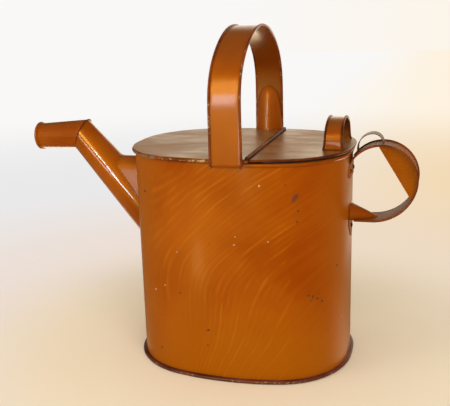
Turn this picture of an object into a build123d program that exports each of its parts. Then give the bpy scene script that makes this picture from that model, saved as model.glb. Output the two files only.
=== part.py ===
"""Painted tin watering can: oval body, hinged half lid, carry hoop, rear handle and elbowed spout.

Millimetres, +Z up, floor at z = 0 under the middle of the body, spout at -X, rear handle at +X.
"""

import os
from math import acos, atan, atan2, cos, degrees, hypot, radians, sin, sqrt, tan

from build123d import *

# Sheet and body
sheet = 0.8
body_length = 235.6
body_width = 188.4
body_height = 240.0
side_radius = 260.0
end_radius = 280.0
corner_radius = 79.0
seam_lap = 6.0
base_lift = 1.4
foot_proud = 4.8
foot_height = 5.2
foot_bevel = 1.5

# Fixed half of the top, open mouth and hinge
top_proud = 3.8
top_rim_height = 4.6
top_bevel = 1.3
mouth_drop = 5.4
mouth_proud = 2.0
mouth_bead_height = 4.0
mouth_bevel = 1.1
hinge_x = 27.3
barrel_radius = 1.9
bore_radius = 1.05
pin_radius = 1.0
hinge_gap = 0.5
end_knuckle = 22.0
middle_knuckle = 40.0

# Lid and its lift loop
lid_rim_width = 1.5
lid_rim_height = 2.4
lid_rim_bevel = 0.7
collar_depth = 8.0
collar_gap = 3.0
collar_start = 12.0
lift_in = 15.3
lift_width = 20.0
lift_half_span = 33.6
lift_height = 28.2
lift_rise = 21.0
lift_shoulder = 17.0

# Beading along strap edges
bead_width = 3.4
bead_proud = 1.7
bead_bevel = 1.0
bead_seat = 0.03

# Carry hoop over the top
carry_x = 7.0
carry_foot_width = 31.6
carry_crown_width = 33.0
carry_height = 124.1
carry_rise = 69.0
carry_shoulder = 50.0
carry_foot_drop = 5.6
carry_foot_round = 4.0
carry_brace_radius = 15.2
carry_brace_tip = 9.5
carry_brace_height = 51.0

# Rear handle, measured on its inner face and down from the top of the body
rear_width = 35.0
rear_centre_out = 32.1
rear_centre_drop = 34.5
rear_radius = 35.6
rear_sweep_radius = 53.2
rear_depth = 42.6
upper_tail = 16.0
ear_width = 13.0
lower_tail = 22.5
lower_tail_tip = 8.0
rear_brace_radius = 15.0
rear_brace_tip = 2.6
rear_brace_length = 29.0
grip_angle = 31.7
grip_offset = 16.3
grip_inset = 0.6
thumb_width = 16.0
thumb_out = 6.4
thumb_long = 16.0
thumb_short = 10.2
thumb_rise = 47.3

# Rivets
rivet_radius = 1.2
rivet_head = 2.6
rivet_dome = 1.4
rivet_play = 0.05
upper_rivet_drop = 26.5
lower_rivet_drop = 11.4

# Spout
elbow_out = 75.8
elbow_rise = 5.1
elbow_radius = 16.67
cone_angle = 131.3
cone_half_angle = 2.96
nozzle_angle = 182.9
nozzle_half_angle = 2.32
nozzle_length = 56.2
spout_rim_width = 3.6
spout_rim_proud = 1.9
spout_rim_bevel = 1.1
stub_drop = 18.6
stub_radius = 15.4
stub_height = 55.4
stub_flare = 21.3

# Values worked out from the sizes above
wall_foot = base_lift + sheet
wall_top = body_height - sheet
mouth_top = body_height - mouth_drop
top_rim_foot = body_height - top_rim_height
plate_edge = hinge_x - barrel_radius - hinge_gap
lid_edge = hinge_x + barrel_radius + hinge_gap
hinge_z = wall_top + barrel_radius
end_x = body_length / 2 - end_radius
side_y = body_width / 2 - side_radius
apart = hypot(end_x, side_y)
along = ((side_radius - corner_radius) ** 2 - (end_radius - corner_radius) ** 2 + apart**2) / (2 * apart)
across = sqrt((side_radius - corner_radius) ** 2 - along**2)
corner_x = (end_x * along - side_y * across) / apart
corner_y = side_y - (side_y * along + end_x * across) / apart
end_turn = degrees(atan2(corner_y, corner_x - end_x))
side_start = degrees(atan2(corner_y - side_y, corner_x))
corner_turn = side_start - end_turn
hinge_half = side_y + sqrt((side_radius + top_proud) ** 2 - hinge_x**2) - top_bevel
carry_half_span = body_width / 2 + top_proud
carry_crown = body_height + carry_height
carry_lean = degrees(atan((carry_foot_width - carry_crown_width) / 2 / carry_height))
lift_x = body_length / 2 - lift_in
rear_x = body_length / 2 + rear_centre_out
rear_centre_z = body_height - rear_centre_drop
rear_low = rear_centre_z - rear_depth
upper_rivet_z = body_height - upper_rivet_drop
lower_rivet_z = rear_low - lower_rivet_drop
sweep_x = rear_x - sqrt(
    (rear_sweep_radius - rear_radius) ** 2 - (rear_centre_z - rear_low - rear_sweep_radius) ** 2
)
sweep_z = rear_low + rear_sweep_radius
sweep_turn = degrees(atan2(rear_centre_z - sweep_z, rear_x - sweep_x))
elbow_x = -body_length / 2 - elbow_out
elbow = Vector(elbow_x, 0, body_height + elbow_rise)
cone_way = Vector(-cos(radians(cone_angle)), 0, -sin(radians(cone_angle)))
nozzle_way = Vector(cos(radians(nozzle_angle)), 0, sin(radians(nozzle_angle)))
stub_top = body_height - stub_drop
stub_low = stub_top - stub_height
mitre_angle = radians((cone_angle + nozzle_angle) / 2)
mitre_plane = Plane(origin=elbow, z_dir=(cos(mitre_angle), 0, sin(mitre_angle)))
cone_length = 150.0
elbow_spare = 20.0


def oval_block(grow, low, high):
    """Solid with the body's plan outline grown outwards, between two heights."""
    with BuildPart() as block:
        with BuildSketch(Plane.XY.offset(low)):
            with BuildLine():
                CenterArc((end_x, 0), end_radius + grow, -end_turn, 2 * end_turn)
                CenterArc((corner_x, corner_y), corner_radius + grow, end_turn, corner_turn)
                CenterArc((0, side_y), side_radius + grow, side_start, 180 - 2 * side_start)
                CenterArc((-corner_x, corner_y), corner_radius + grow, 180 - side_start, corner_turn)
                CenterArc((-end_x, 0), end_radius + grow, 180 - end_turn, 2 * end_turn)
                CenterArc((-corner_x, -corner_y), corner_radius + grow, 180 + end_turn, corner_turn)
                CenterArc((0, -side_y), side_radius + grow, 180 + side_start, 180 - 2 * side_start)
                CenterArc((corner_x, -corner_y), corner_radius + grow, -side_start, corner_turn)
            make_face()
        extrude(amount=high - low)
    return block.part


def oval_ring(outer, inner, low, high, bevel):
    """Ring that follows the body's plan outline, with its two outer edges bevelled."""
    core = oval_block(inner, low, high)
    rim = oval_block(outer, low, high)
    with BuildPart() as ring:
        add(rim)
        add(core, mode=Mode.SUBTRACT)
        if bevel:
            top_edges = ring.faces().sort_by(Axis.Z)[-1].outer_wire().edges()
            low_edges = ring.faces().sort_by(Axis.Z)[0].outer_wire().edges()
            chamfer(top_edges + low_edges, length=bevel)
    return ring.part


def side_box(edge, toward_rear):
    """Tall block that covers everything on one side of a plane across the can."""
    size = 3 * body_length
    with BuildPart() as block:
        with Locations((edge, 0, 0)):
            side = Align.MIN if toward_rear else Align.MAX
            Box(size, size, 2 * size, align=(side, Align.CENTER, Align.CENTER))
    return block.part


def arch_route(half_span, crown, rise, shoulder, grow):
    """Centres, radii and turn of a flattened arch with upright legs, grown outwards."""
    springing = crown - rise
    crown_radius = ((half_span - shoulder) ** 2 + rise**2 - shoulder**2) / (2 * (rise - shoulder))
    turn = degrees(atan2(crown_radius - rise, half_span - shoulder))
    return springing, crown - crown_radius, crown_radius + grow, shoulder + grow, turn


def arch_line(half_span, crown, rise, shoulder, foot, grow):
    """Open line of a flattened arch: leg, shoulder, crown, shoulder, leg."""
    springing, centre, crown_radius, corner, turn = arch_route(half_span, crown, rise, shoulder, grow)
    inset = half_span - shoulder
    with BuildLine(mode=Mode.PRIVATE) as line:
        Line((half_span + grow, foot), (half_span + grow, springing))
        CenterArc((inset, springing), corner, 0, turn)
        CenterArc((0, centre), crown_radius, turn, 180 - 2 * turn)
        CenterArc((-inset, springing), corner, 180 - turn, turn)
        Line((-half_span - grow, springing), (-half_span - grow, foot))
    return line.line


def arch_block(half_span, crown, rise, shoulder, foot, grow, middle, width):
    """Solid under a flattened arch that spans the can, grown outwards."""
    line = arch_line(half_span, crown, rise, shoulder, foot, grow)
    with BuildPart() as block:
        with BuildSketch(Plane.YZ.offset(middle)):
            with BuildLine():
                add(line)
                Line((-half_span - grow, foot), (half_span + grow, foot))
            make_face()
        extrude(amount=width / 2, both=True)
    return block.part


def rear_line(grow):
    """Open line of the rear handle from wall to wall, grown outwards from its inner face."""
    wall = body_length / 2 - 2 * sheet
    top_turn = degrees(acos((wall - rear_x) / (rear_radius + grow)))
    with BuildLine(mode=Mode.PRIVATE) as line:
        Line((wall, rear_low - grow), (sweep_x, rear_low - grow))
        CenterArc((sweep_x, sweep_z), rear_sweep_radius + grow, -90, 90 + sweep_turn)
        CenterArc((rear_x, rear_centre_z), rear_radius + grow, sweep_turn, top_turn - sweep_turn)
    return line.line


def rear_block(grow, width):
    """Solid that fills the rear handle's loop, grown outwards from its inner face."""
    line = rear_line(grow)
    with BuildPart() as block:
        with BuildSketch(Plane.XZ):
            with BuildLine():
                add(line)
                Line(line @ 1, line @ 0)
            make_face()
        extrude(amount=width / 2, both=True)
    return block.part


def beading(route, plane, across_way):
    """Raised bead with bevelled edges, swept along a strap's outer face."""
    path = plane.location * route
    with BuildPart() as bead:
        with BuildSketch(Plane(origin=path @ 0, x_dir=across_way, z_dir=path % 0)):
            with BuildLine():
                Polyline(
                    (-bead_width / 2, bead_seat),
                    (bead_width / 2, bead_seat),
                    (bead_width / 2, bead_proud - bead_bevel),
                    (bead_width / 2 - bead_bevel, bead_proud),
                    (bead_bevel - bead_width / 2, bead_proud),
                    (-bead_width / 2, bead_proud - bead_bevel),
                    close=True,
                )
            make_face()
        sweep(path=path)
    return bead.part


def taper_tube(way, first, last, radius, half_angle):
    """Solid cone frustum along the spout, from the elbow; radius is that of the sphere inside the elbow."""
    slope = tan(radians(half_angle))
    middle = radius / cos(radians(half_angle))
    with BuildPart() as tube:
        with Locations(Plane(origin=elbow + way * first, z_dir=way).location):
            Cone(
                middle + slope * first,
                middle + slope * last,
                last - first,
                align=(Align.CENTER, Align.CENTER, Align.MIN),
            )
    return tube.part


def half_cone(base, tip, height):
    """Solid half cone with a bevelled tip, standing on the origin, its flat side facing -Y."""
    with BuildPart() as brace:
        with BuildSketch(Plane.XZ):
            with BuildLine():
                Polyline((0, 0), (base, 0), (tip, height - tip), (tip / 2, height), (0, height), close=True)
            make_face()
        revolve(axis=Axis.Z, revolution_arc=180)
    return brace.part


def brace_shell(base, tip, height):
    """Half cone bent from sheet, open at its foot and along its flat side."""
    solid = half_cone(base, tip, height)
    drop = sheet / sin(atan((base - tip) / (height - tip)))
    with BuildPart() as brace:
        add(solid)
        with Locations((0, 0, -drop)):
            add(solid, mode=Mode.SUBTRACT)
    return brace.part


def stub_block(inset):
    """Solid of the spout's socket: arched top, sides that flare downwards, level along the can."""
    centre = stub_top - stub_radius
    radius = stub_radius - inset
    flare = stub_flare - inset
    reach = hypot(flare, centre - stub_low)
    turn = degrees(acos(radius / reach) - atan2(centre - stub_low, flare))
    with BuildPart() as block:
        with BuildSketch(Plane.YZ.offset(elbow_x)):
            with BuildLine():
                arch = CenterArc((0, centre), radius, turn, 180 - 2 * turn)
                Polyline(arch @ 1, (-flare, stub_low), (flare, stub_low), arch @ 0)
            make_face()
        extrude(amount=-elbow_x)
    return block.part


def rivet_way(height, turn):
    """Place on the end wall's arc centre, looking out through a rivet."""
    return Location((end_x, 0, height)) * Location((0, 0, 0), (0, 0, turn)) * Location((0, 0, 0), (0, 90, 0))


def rivet_hole(height, turn):
    """Clearance hole for a rivet through the tail and the wall."""
    with BuildPart() as hole:
        with Locations(rivet_way(height, turn) * Location((0, 0, end_radius))):
            Cylinder(rivet_radius + rivet_play, 4 * rivet_head)
    return hole.part


def rivet(height, turn, inside):
    """Rivet square to the end wall: domed head outside, flat head against an inner face."""
    base = (Align.CENTER, Align.CENTER, Align.MIN)
    with BuildPart() as head:
        with Locations(rivet_way(height, turn) * Location((0, 0, end_radius))):
            Cylinder(rivet_head, sheet + rivet_dome, align=base)
        chamfer(head.edges().sort_by(Axis.X)[-1], length=rivet_dome / 2)
        add(tail_block, mode=Mode.SUBTRACT)
    with BuildPart() as foot:
        with Locations(rivet_way(height, turn) * Location((0, 0, end_radius - inside - sheet))):
            Cylinder(rivet_head - rivet_play, 2 * sheet, align=base)
        add(oval_block(-inside, 0, body_height), mode=Mode.INTERSECT)
    with BuildPart() as piece:
        with Locations(rivet_way(height, turn) * Location((0, 0, end_radius - inside - sheet))):
            Cylinder(rivet_radius, inside + 2 * sheet + rivet_dome / 2, align=base)
        add(head.part)
        add(foot.part)
    return piece.part


can_block = oval_block(0, -foot_height, 2 * body_height)
tail_block = oval_block(sheet, -foot_height, 2 * body_height)
wall_core = oval_block(-sheet, -foot_height, 2 * body_height)
lap_core = oval_block(-2 * sheet, -foot_height, 2 * body_height)
spout_side = side_box(plate_edge, False)
lid_side = side_box(lid_edge, True)
cone_outer = taper_tube(cone_way, -elbow_spare, cone_length, elbow_radius, cone_half_angle)
cone_inner = taper_tube(cone_way, -elbow_spare, cone_length, elbow_radius - sheet, cone_half_angle)
rivet_turn = degrees(atan2((rear_width - ear_width) / 2, end_radius))
near_hole = rivet_hole(upper_rivet_z, -rivet_turn)
far_hole = rivet_hole(upper_rivet_z, rivet_turn)
lower_hole = rivet_hole(lower_rivet_z, 0)

# Two wall sheets, lapped inside at both end seams
wall_solid = oval_block(0, wall_foot, wall_top)
lap_solid = oval_block(-sheet, wall_foot, mouth_top)

with BuildPart() as wall_shell:
    add(wall_solid)
    add(wall_core, mode=Mode.SUBTRACT)
    with Locations((plate_edge, 0, mouth_top)):
        Box(
            body_length,
            2 * body_width,
            body_height,
            align=(Align.MIN, Align.CENTER, Align.MIN),
            mode=Mode.SUBTRACT,
        )
    add(cone_inner, mode=Mode.SUBTRACT)

with BuildPart() as lap_strips:
    add(lap_solid)
    add(lap_core, mode=Mode.SUBTRACT)
    Box(2 * body_length, seam_lap, 4 * body_height, mode=Mode.INTERSECT)
    add(cone_inner, mode=Mode.SUBTRACT)

with BuildPart() as front_sheet:
    add(wall_shell.part)
    split(bisect_by=Plane.XZ, keep=Keep.TOP)
    add(lap_strips.part)
    add(near_hole, mode=Mode.SUBTRACT)
    add(lower_hole, mode=Mode.SUBTRACT)

with BuildPart() as back_sheet:
    add(wall_shell.part)
    split(bisect_by=Plane.XZ, keep=Keep.BOTTOM)
    add(far_hole, mode=Mode.SUBTRACT)
    add(lower_hole, mode=Mode.SUBTRACT)

# Base with its rolled foot rim
foot_ring = oval_ring(foot_proud, 0, 0, foot_height, foot_bevel)
base_sheet = oval_block(foot_proud / 2, base_lift, wall_foot)

with BuildPart() as base_plate:
    add(foot_ring)
    add(base_sheet)

# Fixed half of the top and the hinge
hinge_line = Location((hinge_x, 0, hinge_z), (90, 0, 0))
lid_knuckle = hinge_half - end_knuckle - middle_knuckle / 2 - 2 * hinge_gap
lid_knuckle_y = middle_knuckle / 2 + hinge_gap + lid_knuckle / 2
end_knuckle_y = hinge_half - end_knuckle / 2
plate_knuckles = [(-end_knuckle_y, end_knuckle), (0, middle_knuckle), (end_knuckle_y, end_knuckle)]
lid_knuckles = [(-lid_knuckle_y, lid_knuckle), (lid_knuckle_y, lid_knuckle)]


def hinge_leaf(knuckles, edge):
    """Sheet strips that reach from a plate's edge and curl round the hinge pin."""
    with BuildPart() as leaf:
        for middle, length in knuckles:
            with Locations(((edge + hinge_x) / 2, middle, wall_top + sheet / 2)):
                Box(abs(edge - hinge_x), length, sheet)
            with Locations(Location((hinge_x, middle, hinge_z), (90, 0, 0))):
                Cylinder(barrel_radius, length)
        with Locations(hinge_line):
            Cylinder(bore_radius, 2 * body_width, mode=Mode.SUBTRACT)
    return leaf.part


top_rim = oval_ring(top_proud, -sheet, top_rim_foot, body_height, top_bevel)
top_sheet = oval_block(0, wall_top, body_height)
plate_leaf = hinge_leaf(plate_knuckles, plate_edge)
lid_leaf = hinge_leaf(lid_knuckles, lid_edge)

with BuildPart() as top_plate:
    add(top_rim)
    add(oval_block(0, top_rim_foot - sheet, wall_top), mode=Mode.SUBTRACT)
    add(top_sheet)
    add(spout_side, mode=Mode.INTERSECT)
    add(plate_leaf)

with BuildPart() as hinge_pin:
    with Locations(hinge_line):
        Cylinder(pin_radius, 2 * hinge_half)

# Wired edge of the open mouth
mouth_ring = oval_ring(mouth_proud, 0, mouth_top - mouth_bead_height, mouth_top, mouth_bevel)
mouth_side = side_box(carry_x + carry_foot_width / 2 + hinge_gap, True)

with BuildPart() as mouth_bead:
    add(mouth_ring)
    add(mouth_side, mode=Mode.INTERSECT)

# Lid: plate, wired rim and the collar that drops into the mouth
lid_sheet = oval_block(top_proud - lid_rim_width, wall_top, body_height)
rim_ring = oval_ring(
    top_proud, top_proud - lid_rim_width, body_height - lid_rim_height, body_height, lid_rim_bevel
)
collar_low = wall_top - collar_depth
collar_ring = oval_ring(-sheet - collar_gap, -2 * sheet - collar_gap, collar_low, wall_top, 0)
collar_side = side_box(lid_edge + collar_start, True)

with BuildPart() as lid_plate:
    add(lid_sheet)
    add(lid_side, mode=Mode.INTERSECT)
    add(lid_leaf)

with BuildPart() as lid_rim:
    add(rim_ring)
    add(lid_side, mode=Mode.INTERSECT)

with BuildPart() as lid_collar:
    add(collar_ring)
    add(collar_side, mode=Mode.INTERSECT)

# Lift loop on the lid
lift = (lift_half_span, body_height + lift_height, lift_rise, lift_shoulder, body_height)
lift_outer = arch_block(*lift, sheet, lift_x, lift_width)
lift_hollow = arch_block(*lift, 0, lift_x, 2 * lift_width)
lift_edge = (lift_width - bead_width) / 2

with BuildPart() as lift_strap:
    add(lift_outer)
    add(lift_hollow, mode=Mode.SUBTRACT)

lift_route = arch_line(*lift, sheet)

with BuildPart() as lift_bead_left:
    add(beading(lift_route, Plane.YZ.offset(lift_x - lift_edge), (1, 0, 0)))

with BuildPart() as lift_bead_right:
    add(beading(lift_route, Plane.YZ.offset(lift_x + lift_edge), (1, 0, 0)))

# Carry hoop: strap that widens a little to its crown, beaded edges, feet dressed round the rim, two braces
carry = (carry_half_span, carry_crown, carry_rise, carry_shoulder, top_rim_foot)
carry_spare = max(carry_foot_width, carry_crown_width) + 2 * sheet
carry_outer = arch_block(*carry, sheet, carry_x, carry_spare)
carry_hollow = arch_block(*carry, 0, carry_x, 2 * carry_spare)
lean = radians(carry_lean)
right_edge = Plane(origin=(carry_x + carry_foot_width / 2, 0, body_height), z_dir=(cos(lean), 0, sin(lean)))
left_edge = Plane(origin=(carry_x - carry_foot_width / 2, 0, body_height), z_dir=(-cos(lean), 0, sin(lean)))

with BuildPart() as carry_feet:
    with BuildSketch(Plane.YZ.offset(carry_x)) as foot_profile:
        with BuildLine():
            Polyline(
                (body_width / 2 - mouth_proud - carry_foot_drop, top_rim_foot - carry_foot_drop),
                (carry_half_span + sheet, top_rim_foot - carry_foot_drop),
                (carry_half_span + sheet, top_rim_foot),
                (body_width / 2 - mouth_proud - carry_foot_drop, top_rim_foot),
                close=True,
            )
        make_face()
        fillet(foot_profile.vertices().sort_by(Axis.Y)[:2].sort_by(Axis.X)[-1], radius=carry_foot_round)
    extrude(amount=carry_foot_width / 2, both=True)
    mirror(about=Plane.XZ)
    add(can_block, mode=Mode.SUBTRACT)

with BuildPart() as carry_strap:
    add(carry_outer)
    add(carry_hollow, mode=Mode.SUBTRACT)
    split(bisect_by=right_edge, keep=Keep.BOTTOM)
    split(bisect_by=left_edge, keep=Keep.BOTTOM)
    add(carry_feet.part)

carry_tilt = cos(lean)
carry_edge = (carry_foot_width - bead_width) / 2
carry_route = arch_line(
    carry_half_span,
    carry_height / carry_tilt,
    carry_rise / carry_tilt,
    carry_shoulder,
    -top_rim_height,
    sheet,
)
left_plane = Plane((carry_x - carry_edge, 0, body_height), x_dir=(0, 1, 0), z_dir=(cos(lean), 0, -sin(lean)))
right_plane = Plane((carry_x + carry_edge, 0, body_height), x_dir=(0, 1, 0), z_dir=(cos(lean), 0, sin(lean)))

with BuildPart() as carry_bead_left:
    add(beading(carry_route, left_plane, (cos(lean), 0, -sin(lean))))

with BuildPart() as carry_bead_right:
    add(beading(carry_route, right_plane, (cos(lean), 0, sin(lean))))

carry_brace = brace_shell(carry_brace_radius, carry_brace_tip, carry_brace_height)

with BuildPart() as carry_brace_front:
    with Locations((carry_x, -carry_half_span, body_height)):
        add(carry_brace)

with BuildPart() as carry_brace_back:
    with Locations(Location((carry_x, carry_half_span, body_height), (0, 0, 180))):
        add(carry_brace)

# Rear handle: strap with riveted tails, beaded edges, boxed grip, thumb strip and brace
rear_outer = rear_block(sheet, rear_width)
rear_hollow = rear_block(0, 2 * rear_width)
rear_filled = rear_block(sheet, 2 * rear_width)
upper_tail_top = rear_centre_z + sqrt((rear_radius + sheet) ** 2 - rear_centre_out**2)
tail_plane = Plane.YZ.offset(body_length / 2 - end_radius / 20)

with BuildPart() as tails:
    with BuildSketch(tail_plane) as ears:
        with Locations((0, upper_tail_top)):
            Rectangle(rear_width, upper_tail, align=(Align.CENTER, Align.MAX))
        fillet(ears.vertices().sort_by(Axis.Y)[:2], radius=ear_width / 2.2)
        with Locations((0, upper_tail_top - upper_tail)):
            SlotOverall(
                2 * upper_tail - ear_width,
                rear_width - 2 * ear_width,
                rotation=90,
                mode=Mode.SUBTRACT,
            )
    with BuildSketch(tail_plane) as point:
        with BuildLine():
            Polyline(
                (-rear_width / 2, rear_low),
                (-rear_width / 2, rear_low - ear_width / 2),
                (-lower_tail_tip / 2, rear_low - lower_tail),
                (lower_tail_tip / 2, rear_low - lower_tail),
                (rear_width / 2, rear_low - ear_width / 2),
                (rear_width / 2, rear_low),
                close=True,
            )
        make_face()
        fillet(point.vertices().sort_by(Axis.Y)[:4], radius=lower_tail_tip / 4)
    extrude(amount=end_radius / 10)
    add(tail_block, mode=Mode.INTERSECT)
    add(can_block, mode=Mode.SUBTRACT)
    add(near_hole, mode=Mode.SUBTRACT)
    add(far_hole, mode=Mode.SUBTRACT)
    add(lower_hole, mode=Mode.SUBTRACT)

with BuildPart() as rear_strap:
    add(rear_outer)
    add(rear_hollow, mode=Mode.SUBTRACT)
    add(can_block, mode=Mode.SUBTRACT)
    add(tails.part)

rear_route = rear_line(sheet)
rear_edge = (rear_width - bead_width) / 2

with BuildPart() as rear_bead_near:
    add(beading(rear_route, Plane.XZ.offset(rear_edge), (0, -1, 0)))
    add(tail_block, mode=Mode.SUBTRACT)

with BuildPart() as rear_bead_far:
    add(beading(rear_route, Plane.XZ.offset(-rear_edge), (0, -1, 0)))
    add(tail_block, mode=Mode.SUBTRACT)

cheek_y = rear_width / 2 - grip_inset


def grip_slice(depth, first, last):
    """Slab of the grip between the chord and a depth outwards from it, between two planes across it."""
    with BuildPart() as slab:
        with BuildSketch(Plane.XZ.offset(first)):
            with Locations((rear_x, rear_centre_z)):
                Circle(rear_radius)
            with Locations(Location((rear_x, rear_centre_z), grip_angle) * Location((grip_offset, 0))):
                Rectangle(depth, 2 * rear_radius, align=(Align.MIN, Align.CENTER), mode=Mode.INTERSECT)
        extrude(amount=last - first)
    return slab.part


with BuildPart() as grip_cheek_near:
    add(grip_slice(rear_radius, cheek_y - sheet, cheek_y))

with BuildPart() as grip_cheek_far:
    add(grip_slice(rear_radius, -cheek_y, sheet - cheek_y))

with BuildPart() as grip_strip:
    add(grip_slice(sheet, sheet - cheek_y, cheek_y - sheet))

thumb_x = body_length / 2 + thumb_out
thumb_crest = rear_centre_z + thumb_rise
thumb_root = rear_centre_z + rear_radius / 2

with BuildPart() as thumb_strip:
    with BuildLine(Plane.XZ) as thumb_path:
        Line((thumb_x, thumb_root), (thumb_x, thumb_crest - thumb_long))
        CenterArc((thumb_x + thumb_long, thumb_crest - thumb_long), thumb_long, 180, -90)
        CenterArc((thumb_x + thumb_long, thumb_crest - thumb_short), thumb_short, 90, -90)
        Line(
            (thumb_x + thumb_long + thumb_short, thumb_crest - thumb_short),
            (thumb_x + thumb_long + thumb_short, thumb_root),
        )
    with BuildSketch(Plane(origin=(thumb_x, 0, thumb_root), x_dir=(0, 1, 0), z_dir=(0, 0, 1))):
        Rectangle(thumb_width, sheet)
    sweep(path=thumb_path.line)
    add(rear_filled, mode=Mode.SUBTRACT)

rear_shell = brace_shell(rear_brace_radius, rear_brace_tip, rear_brace_length)

with BuildPart() as rear_brace:
    with Locations(
        Location((body_length / 2, 0, rear_low), (0, 90, 0)) * Location((0, 0, 0), (0, 0, 90))
    ):
        add(rear_shell)
    add(can_block, mode=Mode.SUBTRACT)
    add(rear_hollow, mode=Mode.INTERSECT)

with BuildPart() as upper_rivets:
    add(rivet(upper_rivet_z, -rivet_turn, sheet))
    add(rivet(upper_rivet_z, rivet_turn, sheet))

with BuildPart() as lower_rivet:
    add(rivet(lower_rivet_z, 0, 2 * sheet))

# Spout: tapered tube, nozzle mitred to it, wired mouth and the level socket above its root
nozzle_outer = taper_tube(nozzle_way, -elbow_spare, nozzle_length, elbow_radius, -nozzle_half_angle)
nozzle_inner = taper_tube(
    nozzle_way, -2 * elbow_spare, 2 * nozzle_length, elbow_radius - sheet, -nozzle_half_angle
)
stub_outer = stub_block(0)
stub_inner = stub_block(sheet)
rim_plane = Plane(origin=elbow, x_dir=nozzle_way, z_dir=nozzle_way.cross(Vector(0, 1, 0)))

with BuildPart() as spout_cone:
    add(cone_outer)
    add(cone_inner, mode=Mode.SUBTRACT)
    split(bisect_by=mitre_plane, keep=Keep.BOTTOM)
    add(can_block, mode=Mode.SUBTRACT)

with BuildPart() as spout_nozzle:
    add(nozzle_outer)
    add(nozzle_inner, mode=Mode.SUBTRACT)
    split(bisect_by=mitre_plane, keep=Keep.TOP)


def nozzle_radius(distance):
    """Outer radius of the nozzle at a distance from the elbow."""
    return elbow_radius / cos(radians(nozzle_half_angle)) - distance * tan(radians(nozzle_half_angle))


with BuildPart() as spout_rim:
    with BuildSketch(rim_plane):
        with BuildLine():
            rim_back = nozzle_length - spout_rim_width
            rim_top = nozzle_radius(rim_back) + spout_rim_proud
            Polyline(
                (rim_back, nozzle_radius(rim_back)),
                (rim_back, rim_top - spout_rim_bevel),
                (rim_back + spout_rim_bevel, rim_top),
                (nozzle_length - spout_rim_bevel, rim_top),
                (nozzle_length, rim_top - spout_rim_bevel),
                (nozzle_length, nozzle_radius(nozzle_length)),
                close=True,
            )
        make_face()
    revolve(axis=Axis(elbow, nozzle_way))

with BuildPart() as spout_stub:
    add(stub_outer)
    add(stub_inner, mode=Mode.SUBTRACT)
    add(cone_outer, mode=Mode.SUBTRACT)
    add(can_block, mode=Mode.SUBTRACT)
    split(bisect_by=Plane(origin=elbow, z_dir=(-cone_way.Z, 0, cone_way.X)), keep=Keep.TOP)

pieces = {
    "front_sheet": front_sheet,
    "back_sheet": back_sheet,
    "base_plate": base_plate,
    "top_plate": top_plate,
    "mouth_bead": mouth_bead,
    "hinge_pin": hinge_pin,
    "carry_strap": carry_strap,
    "carry_bead_left": carry_bead_left,
    "carry_bead_right": carry_bead_right,
    "carry_brace_front": carry_brace_front,
    "carry_brace_back": carry_brace_back,
    "rear_strap": rear_strap,
    "rear_bead_near": rear_bead_near,
    "rear_bead_far": rear_bead_far,
    "grip_cheek_near": grip_cheek_near,
    "grip_cheek_far": grip_cheek_far,
    "grip_strip": grip_strip,
    "thumb_strip": thumb_strip,
    "rear_brace": rear_brace,
    "upper_rivets": upper_rivets,
    "lower_rivet": lower_rivet,
    "spout_cone": spout_cone,
    "spout_nozzle": spout_nozzle,
    "spout_rim": spout_rim,
    "spout_stub": spout_stub,
    "lid_plate": lid_plate,
    "lid_rim": lid_rim,
    "lid_collar": lid_collar,
    "lift_strap": lift_strap,
    "lift_bead_left": lift_bead_left,
    "lift_bead_right": lift_bead_right,
}
os.makedirs("parts", exist_ok=True)
for name, piece in pieces.items():
    piece.part.label = name
    export_step(piece.part, f"parts/{name}.step")
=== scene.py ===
"""Painted tin watering can: its finished surfaces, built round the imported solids.

Sizes are in millimetres in the can's own frame (+Z up, spout at -X) and become metres when a mesh is made.
"""

import logging
from dataclasses import dataclass, field, replace
from enum import Enum
from math import acos, atan2, cos, hypot, pi, radians, sin, sqrt, tan
from typing import Any, Callable, Optional, Sequence

import bmesh
import bpy
import numpy as np
from mathutils import Matrix, Vector
from mathutils.geometry import tessellate_polygon


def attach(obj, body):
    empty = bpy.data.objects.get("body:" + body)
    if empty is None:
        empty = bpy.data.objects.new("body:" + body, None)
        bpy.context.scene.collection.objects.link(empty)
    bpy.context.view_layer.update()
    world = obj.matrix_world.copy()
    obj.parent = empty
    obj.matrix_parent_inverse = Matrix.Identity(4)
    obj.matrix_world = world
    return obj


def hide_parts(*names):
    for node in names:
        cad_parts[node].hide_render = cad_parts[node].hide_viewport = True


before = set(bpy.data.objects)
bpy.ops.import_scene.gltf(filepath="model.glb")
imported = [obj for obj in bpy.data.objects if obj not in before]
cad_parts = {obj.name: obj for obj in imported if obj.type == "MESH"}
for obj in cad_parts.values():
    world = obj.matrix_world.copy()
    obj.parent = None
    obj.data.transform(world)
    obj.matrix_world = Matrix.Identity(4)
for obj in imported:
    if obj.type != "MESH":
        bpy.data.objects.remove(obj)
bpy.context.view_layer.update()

MM = 0.001
SHEET = 0.8
EDGE_LAP = 0.1
SHARP_EDGE = 38.0
DOUBLES = 2e-6
SLIVERS = 1e-7
FINE_STEPS = 4001
RING_STEP = 2.5
COMB_PITCH = 0.0056
log = logging.getLogger("watering_can")

Array = np.ndarray
Pair = tuple[float, float]
Colour = tuple[float, float, float, float]
Dent = tuple[float, float, float, float, float]
Spot = tuple[float, float, float, float]
Place = tuple[float, float, float]
Piece = bpy.types.Object
Material = bpy.types.Material
Tree = bpy.types.NodeTree


class Slot(Enum):
    """Material slots, by name."""

    PAINT = "grained_paint"
    TRIM = "trim_paint"
    TIN = "bare_tin"


class Body(Enum):
    """Bodies that a piece can ride on."""

    CAN = "can"
    LID = "lid"


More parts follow.
